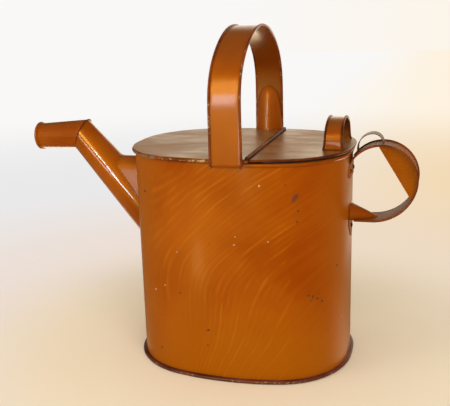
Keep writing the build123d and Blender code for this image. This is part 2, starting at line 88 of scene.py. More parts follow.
def srgb(red: int, green: int, blue: int) -> Colour:
    """Scene-linear colour of an 8-bit display colour.

    Args:
        red: Red, 0 to 255.
        green: Green, 0 to 255.
        blue: Blue, 0 to 255.

    Returns:
        Red, green and blue in linear light, and an alpha of 1.
    """
    shares = [c / 255 for c in (red, green, blue)]
    light = [s / 12.92 if s <= 0.04045 else ((s + 0.055) / 1.055) ** 2.4 for s in shares]
    return (light[0], light[1], light[2], 1.0)


def settle(piece: Piece, body: Body, slot: Slot, *stands_for: str) -> None:
    """Hangs a finished piece on its body and hides the CAD nodes that it stands for.

    Args:
        piece: The finished mesh object.
        body: Body that carries it.
        slot: The finish slot; not used.
        stands_for: CAD nodes that the piece replaces.
    """
    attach(piece, body.value)
    if stands_for:
        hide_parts(*stands_for)
    log.info("%s: %d faces on %s", piece.name, len(piece.data.polygons), body.value)


def placed(name: str, data: Any) -> Any:
    """New object in the scene that holds a mesh, a light or a camera.

    Args:
        name: Name of the object.
        data: What the object holds.

    Returns:
        The object, at the origin.
    """
    piece = bpy.data.objects.new(name, data)
    bpy.context.scene.collection.objects.link(piece)
    return piece


# Lines and meshes


def points_of(*parts: Any) -> Array:
    """Points whose coordinates are given apart, each spread over the whole grid."""
    return np.stack(np.broadcast_arrays(*parts), axis=-1)


def run_along(points: Array) -> Array:
    """Distance along a line at each of its points."""
    return np.concatenate([[0.0], np.cumsum(np.linalg.norm(np.diff(points, axis=0), axis=1))])


def ways_at(turn: Array) -> Array:
    """Unit ways in a plane at a list of angles, n by 2."""
    return np.column_stack([np.cos(turn), np.sin(turn)])


def ways_round(way: Array, turn: Array) -> Array:
    """Ways at right angles to one in the can's upright plane, at a list of angles round it."""
    side = np.array([0.0, 1.0, 0.0])
    return np.cos(turn)[:, None] * side + np.sin(turn)[:, None] * np.cross(way, side)


def arc(centre: Pair, radius: float, start: float, stop: float, steps: int) -> Array:
    """Points along an arc from one angle in degrees to another, steps + 1 by 2."""
    turn = np.radians(np.linspace(start, stop, steps + 1))
    return np.stack([centre[0] + radius * np.cos(turn), centre[1] + radius * np.sin(turn)], axis=-1)


def eased(points: Array, reach: float) -> Array:
    """Line with its sudden changes of curve softened, as hand bending leaves them.

    Args:
        points: Points of the line, n by 3.
        reach: Distance over which a change is spread.

    Returns:
        Points every 2 mm along the softened line, with the same ends.
    """
    step, side = 2.0, 12
    run = run_along(points)
    even = np.linspace(0, run[-1], int(run[-1] / step) + 1)
    line = np.column_stack([np.interp(even, run, points[:, i]) for i in range(3)])
    spread = np.exp(-0.5 * (np.arange(-side, side + 1) * step / reach) ** 2)
    before = 2 * line[0] - line[side:0:-1]
    after = 2 * line[-1] - line[-2:-side - 2:-1]
    padded = np.vstack([before, line, after])
    return np.column_stack([np.convolve(padded[:, i], spread / spread.sum(), "valid") for i in range(3)])


def dents(u: Array, v: Array, marks: Sequence[Dent]) -> Array:
    """Depth of hand-made unevenness over a sheet.

    Args:
        u: Place along the sheet.
        v: Place across it.
        marks: Middle u, middle v, reach along, reach across and height of each dent or bulge.

    Returns:
        Outward distance at each place.
    """
    long_waves = 0.10 * np.sin(u / 23.0 + 1.3 * np.sin(v / 41.0))
    depth = long_waves + 0.08 * np.sin(v / 19.0 + 0.9 * np.sin(u / 33.0))
    for middle_u, middle_v, along, across, height in marks:
        depth = depth + height * np.exp(-(((u - middle_u) / along) ** 2) - ((v - middle_v) / across) ** 2)
    return depth


@dataclass
class Skin:
    """Faces of one piece, gathered patch by patch in millimetres."""

    points: list[tuple[float, ...]] = field(default_factory=list)
    wear: list[float] = field(default_factory=list)
    faces: list[tuple[tuple[int, ...], int]] = field(default_factory=list)
    marks: list[list[tuple[float, ...]]] = field(default_factory=list)

    def patch(self, grid: Array, flow: Array, wear: Any = 0.0, slot: int = 0) -> None:
        """Adds a grid of four-sided faces.

        Args:
            grid: Points, rows by columns by 3.
            flow: Grain coordinates of the points, rows by columns by 2.
            wear: Rubbing (above 0) or painted shade (below 0) of the points, one value or a grid.
            slot: Material slot of the faces.
        """
        rows, columns = grid.shape[:2]
        first = len(self.points)
        self.points.extend(map(tuple, (grid.reshape(-1, 3) * MM).tolist()))
        self.wear.extend(np.broadcast_to(wear, (rows, columns)).reshape(-1).tolist())
        marks = (np.asarray(flow, float) * MM).tolist()
        for i in range(rows - 1):
            for j in range(columns - 1):
                a = first + i * columns + j
                self.faces.append(((a, a + 1, a + columns + 1, a + columns), slot))
                self.marks.append([marks[i][j], marks[i][j + 1], marks[i + 1][j + 1], marks[i + 1][j]])

    def cap(self, ring: Array, flow: Array, wear: float = 0.0) -> None:
        """Adds one many-sided face.

        Args:
            ring: Corner points, n by 3.
            flow: Grain coordinates of the corners, n by 2.
            wear: Rubbing of the corners.
        """
        first = len(self.points)
        self.points.extend(map(tuple, (ring * MM).tolist()))
        self.wear.extend([wear] * len(ring))
        self.faces.append((tuple(range(first, first + len(ring))), 0))
        self.marks.append((np.asarray(flow, float) * MM).tolist())

    def shell(self, outer: Array, inner: Array, flow: Array, wear: Any = 0.0, inside: int = 0) -> None:
        """Adds a closed sheet between two matching grids.

        Args:
            outer: Outer points, rows by columns by 3.
            inner: Inner points in the same order.
            flow: Grain coordinates of both grids.
            wear: Rubbing of the outer points.
            inside: Material slot of the inner face.
        """
        self.patch(outer, flow, wear)
        self.patch(inner, flow, 0.0, inside)
        for cut in (np.s_[0, :], np.s_[-1, :], np.s_[:, 0], np.s_[:, -1]):
            self.patch(np.stack([outer[cut], inner[cut]]), np.stack([flow[cut], flow[cut]]), 0.6)

    def plate(self, outline: Array, place: Callable[[Array, float], Array]) -> None:
        """Adds a plate of sheet cut to an outline.

        Args:
            outline: Corners of the outline in the plate's own plane, n by 2.
            place: Gives the points of an outline at a height over the plate's seat.
        """
        corners = tessellate_polygon([[Vector((float(p[0]), float(p[1]), 0.0)) for p in outline]])
        for height in (0.0, SHEET):
            points = place(outline, height)
            for corner in corners:
                self.cap(points[list(corner)], outline[list(corner)], 0.25)
        around = np.vstack([outline, outline[:1]])
        self.patch(np.stack([place(around, 0.0), place(around, SHEET)]), np.stack([around, around]), 0.8)

    def make(self, name: str, *finishes: Material) -> Piece:
        """Turns the gathered faces into an object with merged doubles and outward faces.

        Args:
            name: Name of the object.
            finishes: Materials in slot order.

        Returns:
            The linked object, at the origin.
        """
        shell = bmesh.new()
        flow = shell.loops.layers.uv.new("grain")
        worn = shell.verts.layers.float.new("wear")
        corners = []
        for point, wear in zip(self.points, self.wear):
            corner = shell.verts.new(point)
            corner[worn] = wear
            corners.append(corner)
        for (ring, slot), marks in zip(self.faces, self.marks):
            face = shell.faces.new([corners[i] for i in ring])
            face.smooth = True
            face.material_index = slot
            for loop, mark in zip(face.loops, marks):
                loop[flow].uv = mark
        bmesh.ops.remove_doubles(shell, verts=shell.verts[:], dist=DOUBLES)
        bmesh.ops.dissolve_degenerate(shell, edges=shell.edges[:], dist=SLIVERS)
        bmesh.ops.recalc_face_normals(shell, faces=shell.faces[:])
        for edge in shell.edges:
            if edge.is_manifold and edge.calc_face_angle(0.0) > radians(SHARP_EDGE):
                edge.smooth = False
        mesh = bpy.data.meshes.new(name)
        shell.to_mesh(mesh)
        shell.free()
        for finish in finishes:
            mesh.materials.append(finish)
        return placed(name, mesh)


def cast(piece: Piece) -> Piece:
    """Makes a piece's evaluated shape its own plain mesh and takes its modifiers off.

    Args:
        piece: Object with modifiers.

    Returns:
        The same object, without modifiers.
    """
    bpy.context.view_layer.update()
    graph = bpy.context.evaluated_depsgraph_get()
    mesh = bpy.data.meshes.new_from_object(piece.evaluated_get(graph))
    old = piece.data
    piece.modifiers.clear()
    piece.data = mesh
    bpy.data.meshes.remove(old)
    mesh.name = piece.name
    return piece


@dataclass(frozen=True)
class Route:
    """Line that a strap follows, with its sideways and outward ways at each point."""

    points: Array
    across: Array
    out: Array

    @classmethod
    def upright(cls, points: Array, ways: Array) -> "Route":
        """Route in the can's upright plane.

        Args:
            points: X and Z of the points, n by 2.
            ways: X and Z of the outward ways, n by 2 or one for all.

        Returns:
            The route.
        """
        ways = np.broadcast_to(ways, points.shape)
        return cls(points_of(points[:, 0], 0.0, points[:, 1]), np.tile([0.0, 1.0, 0.0], (len(points), 1)),
                   points_of(ways[:, 0], 0.0, ways[:, 1]))

    def shifted(self, aside: Any, height: float) -> Array:
        """Points of a line that runs beside this one, some way aside and some way out."""
        aside = np.broadcast_to(aside, len(self.points))[:, None]
        return self.points + self.across * aside + self.out * height

    def strap(self, skin: Skin, half_width: Any) -> None:
        """Adds a flat strap along the line to a skin.

        Args:
            skin: Skin that takes the faces.
            half_width: Half the strap's width, one value or one for each point.
        """
        half = np.broadcast_to(half_width, len(self.points))
        soft = 0.22
        shares = np.array([-1.0, -0.97, -0.7, -0.35, 0.0, 0.35, 0.7, 0.97, 1.0])
        rows = [(share, SHEET - soft if abs(share) == 1 else SHEET) for share in shares]
        rows += [(share, soft if abs(share) == 1 else 0.0) for share in shares[::-1]]
        rows.append(rows[0])
        run = run_along(self.points)
        grid = np.stack([self.shifted(share * half, height) for share, height in rows], axis=1)
        flow = np.stack([points_of(share * half, run) for share, _ in rows], axis=1)
        wear = np.array([1.0 if abs(share) == 1 else 0.45 if abs(share) > 0.9 else 0.0 for share, _ in rows])
        # The inner face of each strap is marked -1, which paints shade on it.
        wear[len(shares) + 1:-2] = -1.0
        skin.patch(grid, flow, wear[None, :])
        for end in (0, -1):
            skin.cap(grid[end, :-1], flow[end, :-1], 0.2)


@dataclass(frozen=True)
class Oval:
    """Plan outline of the can: eight tangent arcs, followed by the turn of the outward normal."""

    length: float = 235.6
    width: float = 188.4
    side_radius: float = 260.0
    end_radius: float = 280.0
    corner_radius: float = 79.0
    end_half: float = 15.4

    @property
    def end_x(self) -> float:
        """Distance of the end arcs' centres from the middle."""
        return self.length / 2 - self.end_radius

    @property
    def side_y(self) -> float:
        """Distance of the side arcs' centres from the middle."""
        return self.width / 2 - self.side_radius

    @property
    def corner(self) -> Pair:
        """Centre of a corner arc.

        Returns:
            X and Y of the centre.
        """
        apart = hypot(self.end_x, self.side_y)
        side, end = self.side_radius - self.corner_radius, self.end_radius - self.corner_radius
        along = (side**2 - end**2 + apart**2) / (2 * apart)
        across = sqrt(side**2 - along**2)
        x = (self.end_x * along - self.side_y * across) / apart
        return x, self.side_y - (self.side_y * along + self.end_x * across) / apart

    def place(self, turn: Any, grow: Any = 0.0) -> Array:
        """Plan points of the outline, grown outwards.

        Args:
            turn: Angle of the outward normal from +X, in radians.
            grow: Outward distance.

        Returns:
            X and Y of the points, in the shape of turn with 2 added.
        """
        turn, grow = np.broadcast_arrays(np.asarray(turn, float), np.asarray(grow, float))
        x, y = self.corner
        quarter = np.arctan2(np.abs(np.sin(turn)), np.abs(np.cos(turn)))
        end = quarter <= atan2(y, x - self.end_x)
        side = quarter >= atan2(y - self.side_y, x)
        reach = np.where(end, self.end_radius, np.where(side, self.side_radius, self.corner_radius)) + grow
        along = np.where(end, self.end_x, np.where(side, 0.0, x)) + reach * np.cos(quarter)
        aside = np.where(end, 0.0, np.where(side, self.side_y, y)) + reach * np.sin(quarter)
        return np.stack([along * np.sign(np.cos(turn)), aside * np.sign(np.sin(turn))], axis=-1)

    def turns(self, start: float, stop: float, step: float) -> Array:
        """Turns of the normal at even distances along the outline.

        Args:
            start: First turn in radians.
            stop: Last turn in radians.
            step: Distance between points.

        Returns:
            The turns.
        """
        fine = np.linspace(start, stop, FINE_STEPS)
        run = self.run(fine)
        return np.interp(np.linspace(0, run[-1], int(run[-1] / step) + 2), run, fine)

    def run(self, turns: Array) -> Array:
        """Distance along the outline at each of a list of turns."""
        return run_along(self.place(turns))

    def end_at(self, y: Array, grow: float = 0.0) -> Array:
        """How far along the can its end reaches.

        Args:
            y: Place across the can.
            grow: Outward distance of the outline.

        Returns:
            Distances from the middle.
        """
        y = np.abs(y)
        corner_x, corner_y = self.corner
        bend = corner_x + np.sqrt((self.corner_radius + grow) ** 2 - (y - corner_y) ** 2)
        end = self.end_x + np.sqrt((self.end_radius + grow) ** 2 - y**2)
        return np.where(y > self.end_half, bend, end)

    def half_width(self, x: Any, grow: float) -> Array:
        """Half the outline's width across the can.

        Args:
            x: Place along the can.
            grow: Outward distance of the outline.

        Returns:
            Half widths, none below 0.
        """
        x = np.abs(np.asarray(x, float))
        corner_x, corner_y = self.corner
        side = self.side_y + np.sqrt(np.maximum((self.side_radius + grow) ** 2 - x**2, 0))
        corner = corner_y + np.sqrt(np.maximum((self.corner_radius + grow) ** 2 - (x - corner_x) ** 2, 0))
        end = np.sqrt(np.maximum((self.end_radius + grow) ** 2 - (x - self.end_x) ** 2, 0))
        side_stop = (self.side_radius + grow) * corner_x / (self.side_radius - self.corner_radius)
        end_start = self.end_x + (self.end_radius + grow) * cos(atan2(corner_y, corner_x - self.end_x))
        return np.where(x <= side_stop, side, np.where(x < end_start, corner, end))

    def grow_at(self, x: Array, y: Array) -> Array:
        """How far outside the end of the outline each point lies.

        Args:
            x: Places along the can.
            y: Places across it.

        Returns:
            Outward distances.
        """
        corner_x, corner_y = self.corner
        x, y = np.abs(x), np.abs(y)
        end = np.hypot(x - self.end_x, y) - self.end_radius
        corner = np.hypot(x - corner_x, y - corner_y) - self.corner_radius
        on_end = np.arctan2(y, x - self.end_x) <= atan2(corner_y, corner_x - self.end_x)
        return np.where(on_end, end, corner)

    def ring(self, skin: Skin, profile: Array, span: Optional[tuple[float, bool]] = None, wear: Any = 0.0,
             step: float = RING_STEP) -> None:
        """Adds a moulding that follows the outline to a skin.

        Args:
            skin: Skin that takes the faces.
            profile: Closed section as grow and height, without its first point repeated.
            span: X of the plane where the moulding stops, and True for its +X side, or None for all round.
            wear: Rubbing of the section's points.
            step: Distance between points along the outline.
        """
        section = np.vstack([profile, profile[:1]])
        wear = np.broadcast_to(wear, len(profile))
        wear = np.concatenate([wear, wear[:1]])
        grow, height = section[:, 0], section[:, 1]
        if span is None:
            turn = np.repeat(self.turns(-pi, pi, step)[:, None], len(section), axis=1)
        else:
            cut = np.arccos(span[0] / (self.side_radius + grow))
            first, last = (-cut, cut) if span[1] else (cut, 2 * pi - cut)
            shares = self.turns(float(first[0]), float(last[0]), step)
            shares = (shares - shares[0]) / (shares[-1] - shares[0])
            turn = first[None, :] + (last - first)[None, :] * shares[:, None]
        plan = self.place(turn, grow[None, :])
        grid = points_of(plan[..., 0], plan[..., 1], height)
        around = np.concatenate([[0.0], np.cumsum(np.hypot(np.diff(grow), np.diff(height)))])
        flow = points_of(self.run(turn[:, 0])[:, None], around[None, :])
        skin.patch(grid, flow, wear[None, :])
        if span is not None:
            for end in (0, -1):
                skin.cap(grid[end, :-1], flow[end, :-1], 0.5)


# Node tools


@dataclass(frozen=True)
class Value:
    """Output of a node, which takes part in sums as a number does."""

    pad: "NodePad"
    socket: bpy.types.NodeSocket

    def __add__(self, other: Any) -> "Value":
        """This and a number or another value together."""
        return self.pad.math("ADD", self, other)

    def __sub__(self, other: Any) -> "Value":
        """This less a number or another value."""
        return self.pad.math("SUBTRACT", self, other)

    def __mul__(self, other: Any) -> "Value":
        """This times a number or another value."""
        return self.pad.math("MULTIPLY", self, other)


@dataclass(frozen=True)
class Step:
    """Node whose outputs are taken by name or number."""

    pad: "NodePad"
    node: bpy.types.Node

    def __getitem__(self, end: Any) -> Value:
        """One of the node's outputs."""
        return Value(self.pad, self.node.outputs[end])


class NodePad:
    """Short way of adding and joining nodes in a tree."""

    def __init__(self, tree: Tree) -> None:
        """Keeps the tree that the nodes go into."""
        self.tree = tree

    @classmethod
    def group(cls, name: str, kind: str, inputs: dict[str, str], outputs: dict[str, str]) -> "NodePad":
        """Opens a node group of its own.

        Args:
            name: Name of the group.
            kind: Blender's name for the type of tree.
            inputs: Kind of each input by name.
            outputs: Kind of each output by name.

        Returns:
            The pad of the empty group.
        """
        tree = bpy.data.node_groups.new(name, kind)
        for way, sockets in (("INPUT", inputs), ("OUTPUT", outputs)):
            for label, socket in sockets.items():
                tree.interface.new_socket(label, in_out=way, socket_type="NodeSocket" + socket)
        return cls(tree)

    def work(self, piece: Piece, **settings: Any) -> Piece:
        """Runs a tree of Geometry Nodes on a piece.

        Args:
            piece: Object that the tree starts from.
            settings: Values by the name of the tree's input.

        Returns:
            The same object, with the result as its plain mesh.
        """
        tool = piece.modifiers.new(self.tree.name, "NODES")
        tool.node_group = self.tree
        for label, value in settings.items():
            tool[self.tree.interface.items_tree[label].identifier] = value
        return cast(piece)

    def feed(self, node: bpy.types.Node, inputs: dict[Any, Any]) -> None:
        """Sets a node's inputs.

        Args:
            node: The node.
            inputs: Constants, outputs or nodes whose first output is meant, by input name or number.
        """
        for key, value in inputs.items():
            source = value[0] if isinstance(value, Step) else value
            if isinstance(source, Value):
                self.tree.links.new(source.socket, node.inputs[key])
            else:
                node.inputs[key].default_value = source

    def add(self, kind: str, inputs: Optional[dict[Any, Any]] = None, **settings: Any) -> Step:
        """Adds a node.

        Args:
            kind: Blender's name for the node's type.
            inputs: What goes into the node, by input name or number.
            settings: The node's own settings.

        Returns:
            The node.
        """
        node = self.tree.nodes.new(kind)
        for key, value in settings.items():
            setattr(node, key, value)
        self.feed(node, inputs or {})
        return Step(self, node)

    def math(self, operation: str, *terms: Any) -> Value:
        """Result of a Math node on numbers or values."""
        return self.add("ShaderNodeMath", dict(enumerate(terms)), operation=operation)[0]

    def most(self, first: Any, second: Any) -> Value:
        """The greater of two numbers or values."""
        return self.math("MAXIMUM", first, second)

    def split(self, vector: Any) -> Step:
        """X, Y and Z of a vector."""
        return self.add("ShaderNodeSeparateXYZ", {0: vector})

    def ramp(self, value: Any, low: float, high: float, first: float = 0.0, last: float = 1.0) -> Value:
        """Smooth step from a first result, where the value is low, to a last one, where it is high."""
        ends = {"Value": value, "From Min": low, "From Max": high, "To Min": first, "To Max": last}
        return self.add("ShaderNodeMapRange", ends, interpolation_type="SMOOTHSTEP")[0]

    def mix(self, share: Any, first: Any, second: Any) -> Value:
        """Blend of two colours by a share."""
        return self.add("ShaderNodeMix", {0: share, 6: first, 7: second}, data_type="RGBA")[2]

    def blend(self, share: Any, first: Step, second: Step) -> Step:
        """Blend of two shaders by a share."""
        return self.add("ShaderNodeMixShader", {0: share, 1: first, 2: second})

    def noise(self, vector: Any, scale: Any, detail: float = 3.0, rough: float = 0.5) -> Value:
        """Value of a noise texture, about 0 to 1."""
        inputs = {"Vector": vector, "Scale": scale, "Detail": detail, "Roughness": rough}
        return self.add("ShaderNodeTexNoise", inputs)[0]


class WireTool:
    """Geometry Nodes tool that rolls round wires along paths."""

    def __init__(self) -> None:
        """Builds the tree once."""
        inputs = {"Path": "Geometry", "Radius": "Float", "Sides": "Int", "Finish": "Material",
                  "Wear": "Float"}
        self.pad = NodePad.group("rolled_wire", "GeometryNodeTree", inputs, {"Wire": "Geometry"})
        add = self.pad.add
        source = add("NodeGroupInput")
        path = add("GeometryNodeMeshToCurve", {0: source["Path"]})
        girth = {"Resolution": source["Sides"], "Radius": source["Radius"]}
        ring = add("GeometryNodeCurvePrimitiveCircle", girth)
        wire = add("GeometryNodeCurveToMesh", {"Curve": path, "Profile Curve": ring, "Fill Caps": True})
        smooth = add("GeometryNodeSetShadeSmooth", {0: wire})
        rub = {"Geometry": smooth, "Name": "wear", "Value": source["Wear"]}
        plain = add("GeometryNodeRealizeInstances", {0: add("GeometryNodeStoreNamedAttribute", rub)})
        dressed = add("GeometryNodeSetMaterial", {"Geometry": plain, "Material": source["Finish"]})
        add("NodeGroupOutput", {0: dressed})

    def roll(self, name: str, paths: Sequence[Array], radius: float, finish: Material, closed: bool = False,
             sides: int = 14, wear: float = 0.0) -> Piece:
        """Rolls wires into one piece.

        Args:
            name: Name of the piece.
            paths: Points of each wire's middle, n by 3.
            radius: Radius of the wires.
            finish: Material.
            closed: True where each wire joins up with its start.
            sides: Faces round a wire.
            wear: Rubbing of the wires.

        Returns:
            The wires as one plain mesh object.
        """
        points: list[list[float]] = []
        edges: list[tuple[int, int]] = []
        for path in paths:
            first, count = len(points), len(path)
            points.extend((path * MM).tolist())
            edges.extend((first + i, first + i + 1) for i in range(count - 1))
            if closed:
                edges.append((first + count - 1, first))
        mesh = bpy.data.meshes.new(name)
        mesh.from_pydata(points, edges, [])
        return self.pad.work(placed(name, mesh), Radius=radius * MM, Sides=sides, Finish=finish, Wear=wear)


class StampTool:
    """Geometry Nodes tool that sets a small shape at each of a list of places."""

    def __init__(self, name: str, spread: float, seed: int) -> None:
        """Builds the tree.

        Args:
            name: Name of the tree.
            spread: Share of a full turn by which the shapes may be twisted at random.
            seed: Seed of the random turns.
        """
        inputs = {"Places": "Geometry", "Shape": "Object", "Finish": "Material", "Seed": "Int"}
        self.pad = NodePad.group(name, "GeometryNodeTree", inputs, {"Stamped": "Geometry"})
        self.seed = seed
        add = self.pad.add
        source = add("NodeGroupInput")
        way, size = (add("GeometryNodeInputNamedAttribute", {"Name": key}, data_type="FLOAT_VECTOR")
                     for key in ("way", "size"))
        upright = add("FunctionNodeAlignRotationToVector", {"Vector": way}, axis="Z")
        luck = {2: 0.0, 3: 2 * pi * spread, "Seed": source["Seed"]}
        spin = add("FunctionNodeRandomValue", luck, data_type="FLOAT")
        twist = add("FunctionNodeAxisAngleToRotation", {"Axis": (0.0, 0.0, 1.0), "Angle": spin[1]})
        turned = add("FunctionNodeRotateRotation", {0: upright, 1: twist}, rotation_space="LOCAL")
        shape = add("GeometryNodeObjectInfo", {"Object": source["Shape"]})
        stamp = {"Points": source["Places"], "Instance": shape["Geometry"], "Rotation": turned,
                 "Scale": size}
        plain = add("GeometryNodeRealizeInstances", {0: add("GeometryNodeInstanceOnPoints", stamp)})
        dressed = add("GeometryNodeSetMaterial", {"Geometry": plain, "Material": source["Finish"]})
        add("NodeGroupOutput", {0: dressed})

    def stamp(self, name: str, shape: Piece, places: Array, ways: Array, sizes: Array,
              finish: Material) -> Piece:
        """Sets the shape at every place.

        Args:
            name: Name of the piece.
            shape: Small shape that stands on its origin along +Z.
            places: Points, n by 3.
            ways: Outward ways of the points, n by 3.
            sizes: Scales of the shape, n by 3.
            finish: Material.

        Returns:
            The stamped shapes as one plain mesh object.
        """
        mesh = bpy.data.meshes.new(name)
        mesh.from_pydata((places * MM).tolist(), [], [])
        for key, values in (("way", ways), ("size", sizes)):
            layer = mesh.attributes.new(key, "FLOAT_VECTOR", "POINT")
            layer.data.foreach_set("vector", values.astype(float).ravel())
        return self.pad.work(placed(name, mesh), Shape=shape, Finish=finish, Seed=self.seed)


# Finishes


class SharedEffects:
    """Shader groups that several finishes use."""

    def __init__(self) -> None:
        """Builds each group once."""
        self.comb = self._comb()
        self.mottle = self._mottle()
        self.rub = self._rub()

    @staticmethod
    def _open(name: str, inputs: Sequence[str], outputs: Sequence[str]) -> NodePad:
        """Opens a group that reads a place and some numbers, and puts out numbers."""
        sockets = {"Place": "Vector"} | dict.fromkeys(inputs, "Float")
        return NodePad.group(name, "ShaderNodeTree", sockets, dict.fromkeys(outputs, "Float"))

    def _comb(self) -> Tree:
        """Lines that a steel comb drew through the wet glaze, all one sweep shifted up and down.

        Returns:
            The group.
        """
        pad = self._open("combed_lines", ["Pitch"], ["Lines", "Streaks"])
        source = pad.add("NodeGroupInput")
        place = pad.split(source["Place"])
        lean = pad.ramp(place[1], 0.03, 0.14, 0.060, 0.105)
        along = pad.most(place[0] + lean, 0.0)
        stretch = pad.math("MULTIPLY_ADD", along, 30.0, 1.0)
        level = place[1] - pad.math("LOGARITHM", stretch, 2.718282) * 0.12
        sway = (pad.noise(source["Place"], 11.0, 2.0) - 0.5) * 0.014
        steep = pad.math("DIVIDE", 3.6, stretch)
        apart = pad.math("SQRT", pad.math("MULTIPLY_ADD", steep, steep, 1.0))
        tooth = pad.math("DIVIDE", level + sway, source["Pitch"] * apart)
        number = pad.math("FLOOR", tooth)
        thin = pad.ramp(pad.math("ABSOLUTE", pad.math("FRACT", tooth) - 0.5), 0.34, 0.02)
        luck = pad.add("ShaderNodeTexWhiteNoise", {"W": number}, noise_dimensions="1D")
        drawn = pad.add("ShaderNodeCombineXYZ", {0: along, 1: level * 1.5, 2: number})
        skipped = pad.ramp(pad.noise(drawn, 26.0, 3.0, 0.6), 0.38, 0.62)
        broken = pad.most(skipped, pad.ramp(place[1], 0.09, 0.03, 0.0, 0.6))
        lines = thin * pad.ramp(luck, 0.1, 0.9, 0.2, 1.0) * broken
        panel = pad.ramp(place[0], 0.078, 0.060) * pad.ramp(along, 0.004, 0.030)
        brushed = pad.add("ShaderNodeCombineXYZ", {0: along * 9.0, 1: level * 260.0})
        pad.add("NodeGroupOutput", {0: lines * panel, 1: pad.noise(brushed, 1.0, 3.0, 0.55)})
        return pad.tree

    def _mottle(self) -> Tree:
        """Clouds in the glaze, small dark specks and the skin of old varnish.

        Returns:
            The group.
        """
        pad = self._open("aged_mottle", ["Scale"], ["Cloud", "Specks", "Skin"])
        source = pad.add("NodeGroupInput")
        scaled = {0: source["Place"], "Scale": source["Scale"]}
        place = pad.add("ShaderNodeVectorMath", scaled, operation="SCALE")
        cells = pad.add("ShaderNodeTexVoronoi", {"Vector": place, "Scale": 70.0, "Randomness": 1.0})
        rare = pad.add("ShaderNodeSeparateColor", {0: cells["Color"]})
        near = cells["Distance"] + (pad.noise(place, 900.0, 2.0) - 0.5) * 0.10
        specks = pad.ramp(near, 0.075, 0.035) * pad.ramp(rare, 0.86, 0.90)
        skin = pad.noise(place, 420.0, 3.0, 0.55)
        pad.add("NodeGroupOutput", {0: pad.noise(place, 12.0), 1: specks, 2: skin})
        return pad.tree

    def _rub(self) -> Tree:
        """Places where edges and beads are rubbed through to the tin.

        Returns:
            The group.
        """
        pad = self._open("rubbed_edges", ["Wear", "Reach", "Scale"], ["Bare", "Thin"])
        source = pad.add("NodeGroupInput")
        coarse = pad.noise(source["Place"], source["Scale"], 5.0, 0.65)
        broad = pad.noise(source["Place"], 31.0, 2.0)
        heat = coarse * 0.65 + broad * 0.35 + source["Wear"] * source["Reach"]
        pad.add("NodeGroupOutput", {0: pad.ramp(heat, 0.70, 0.76), 1: pad.ramp(heat, 0.52, 0.74)})
        return pad.tree


class Bench(NodePad):
    """Pad for one material, with the effects that the finishes share."""

    def __init__(self, tree: Tree, effects: SharedEffects) -> None:
        """Opens the pad.

        Args:
            tree: The material's tree.
            effects: The shared shader groups.
        """
        super().__init__(tree)
        self.effects = effects
        self.place = self.add("ShaderNodeTexCoord")["Object"]

    def wear(self) -> Value:
        """Rubbing, and painted shade where negative, that the mesh carries."""
        return self.add("ShaderNodeAttribute", attribute_name="wear")["Fac"]

    def mottle(self, scale: float) -> Step:
        """Clouds, specks and skin of the glaze."""
        inputs = {"Place": self.place, "Scale": scale}
        return self.add("ShaderNodeGroup", inputs, node_tree=self.effects.mottle)

    def rub(self, wear: Any, reach: float, scale: float) -> Step:
        """Bare and thinned places."""
        inputs = {"Place": self.place, "Wear": wear, "Reach": reach, "Scale": scale}
        return self.add("ShaderNodeGroup", inputs, node_tree=self.effects.rub)

    def layers(self, colour: Value, *coats: tuple[Any, Colour]) -> Value:
        """Lays coats over a colour, one after the other.

        Args:
            colour: The first colour.
            coats: Share and colour of each coat.

        Returns:
            The colour with all its coats.
        """
        for share, coat in coats:
            colour = self.mix(share, colour, coat)
        return colour

    def bump(self, height: Any, strength: float, depth: float = 0.0005) -> Step:
        """Relief of a height in the surface."""
        return self.add("ShaderNodeBump", {"Height": height, "Strength": strength, "Distance": depth})


@dataclass(frozen=True)
class Finish:
    """What every finish has: a name and a way to become a material."""

    name: str

    def build(self, effects: SharedEffects) -> Material:
        """Makes the material.

        Args:
            effects: The shared shader groups.

        Returns:
            The material.
        """
        material = bpy.data.materials.new(self.name)
        material.use_nodes = True
        bench = Bench(material.node_tree, effects)
        bench.feed(material.node_tree.nodes["Principled BSDF"], self.look(bench))
        return material

    def look(self, bench: Bench) -> dict[str, Any]:
        """What goes into the shader, by input name."""
        raise NotImplementedError


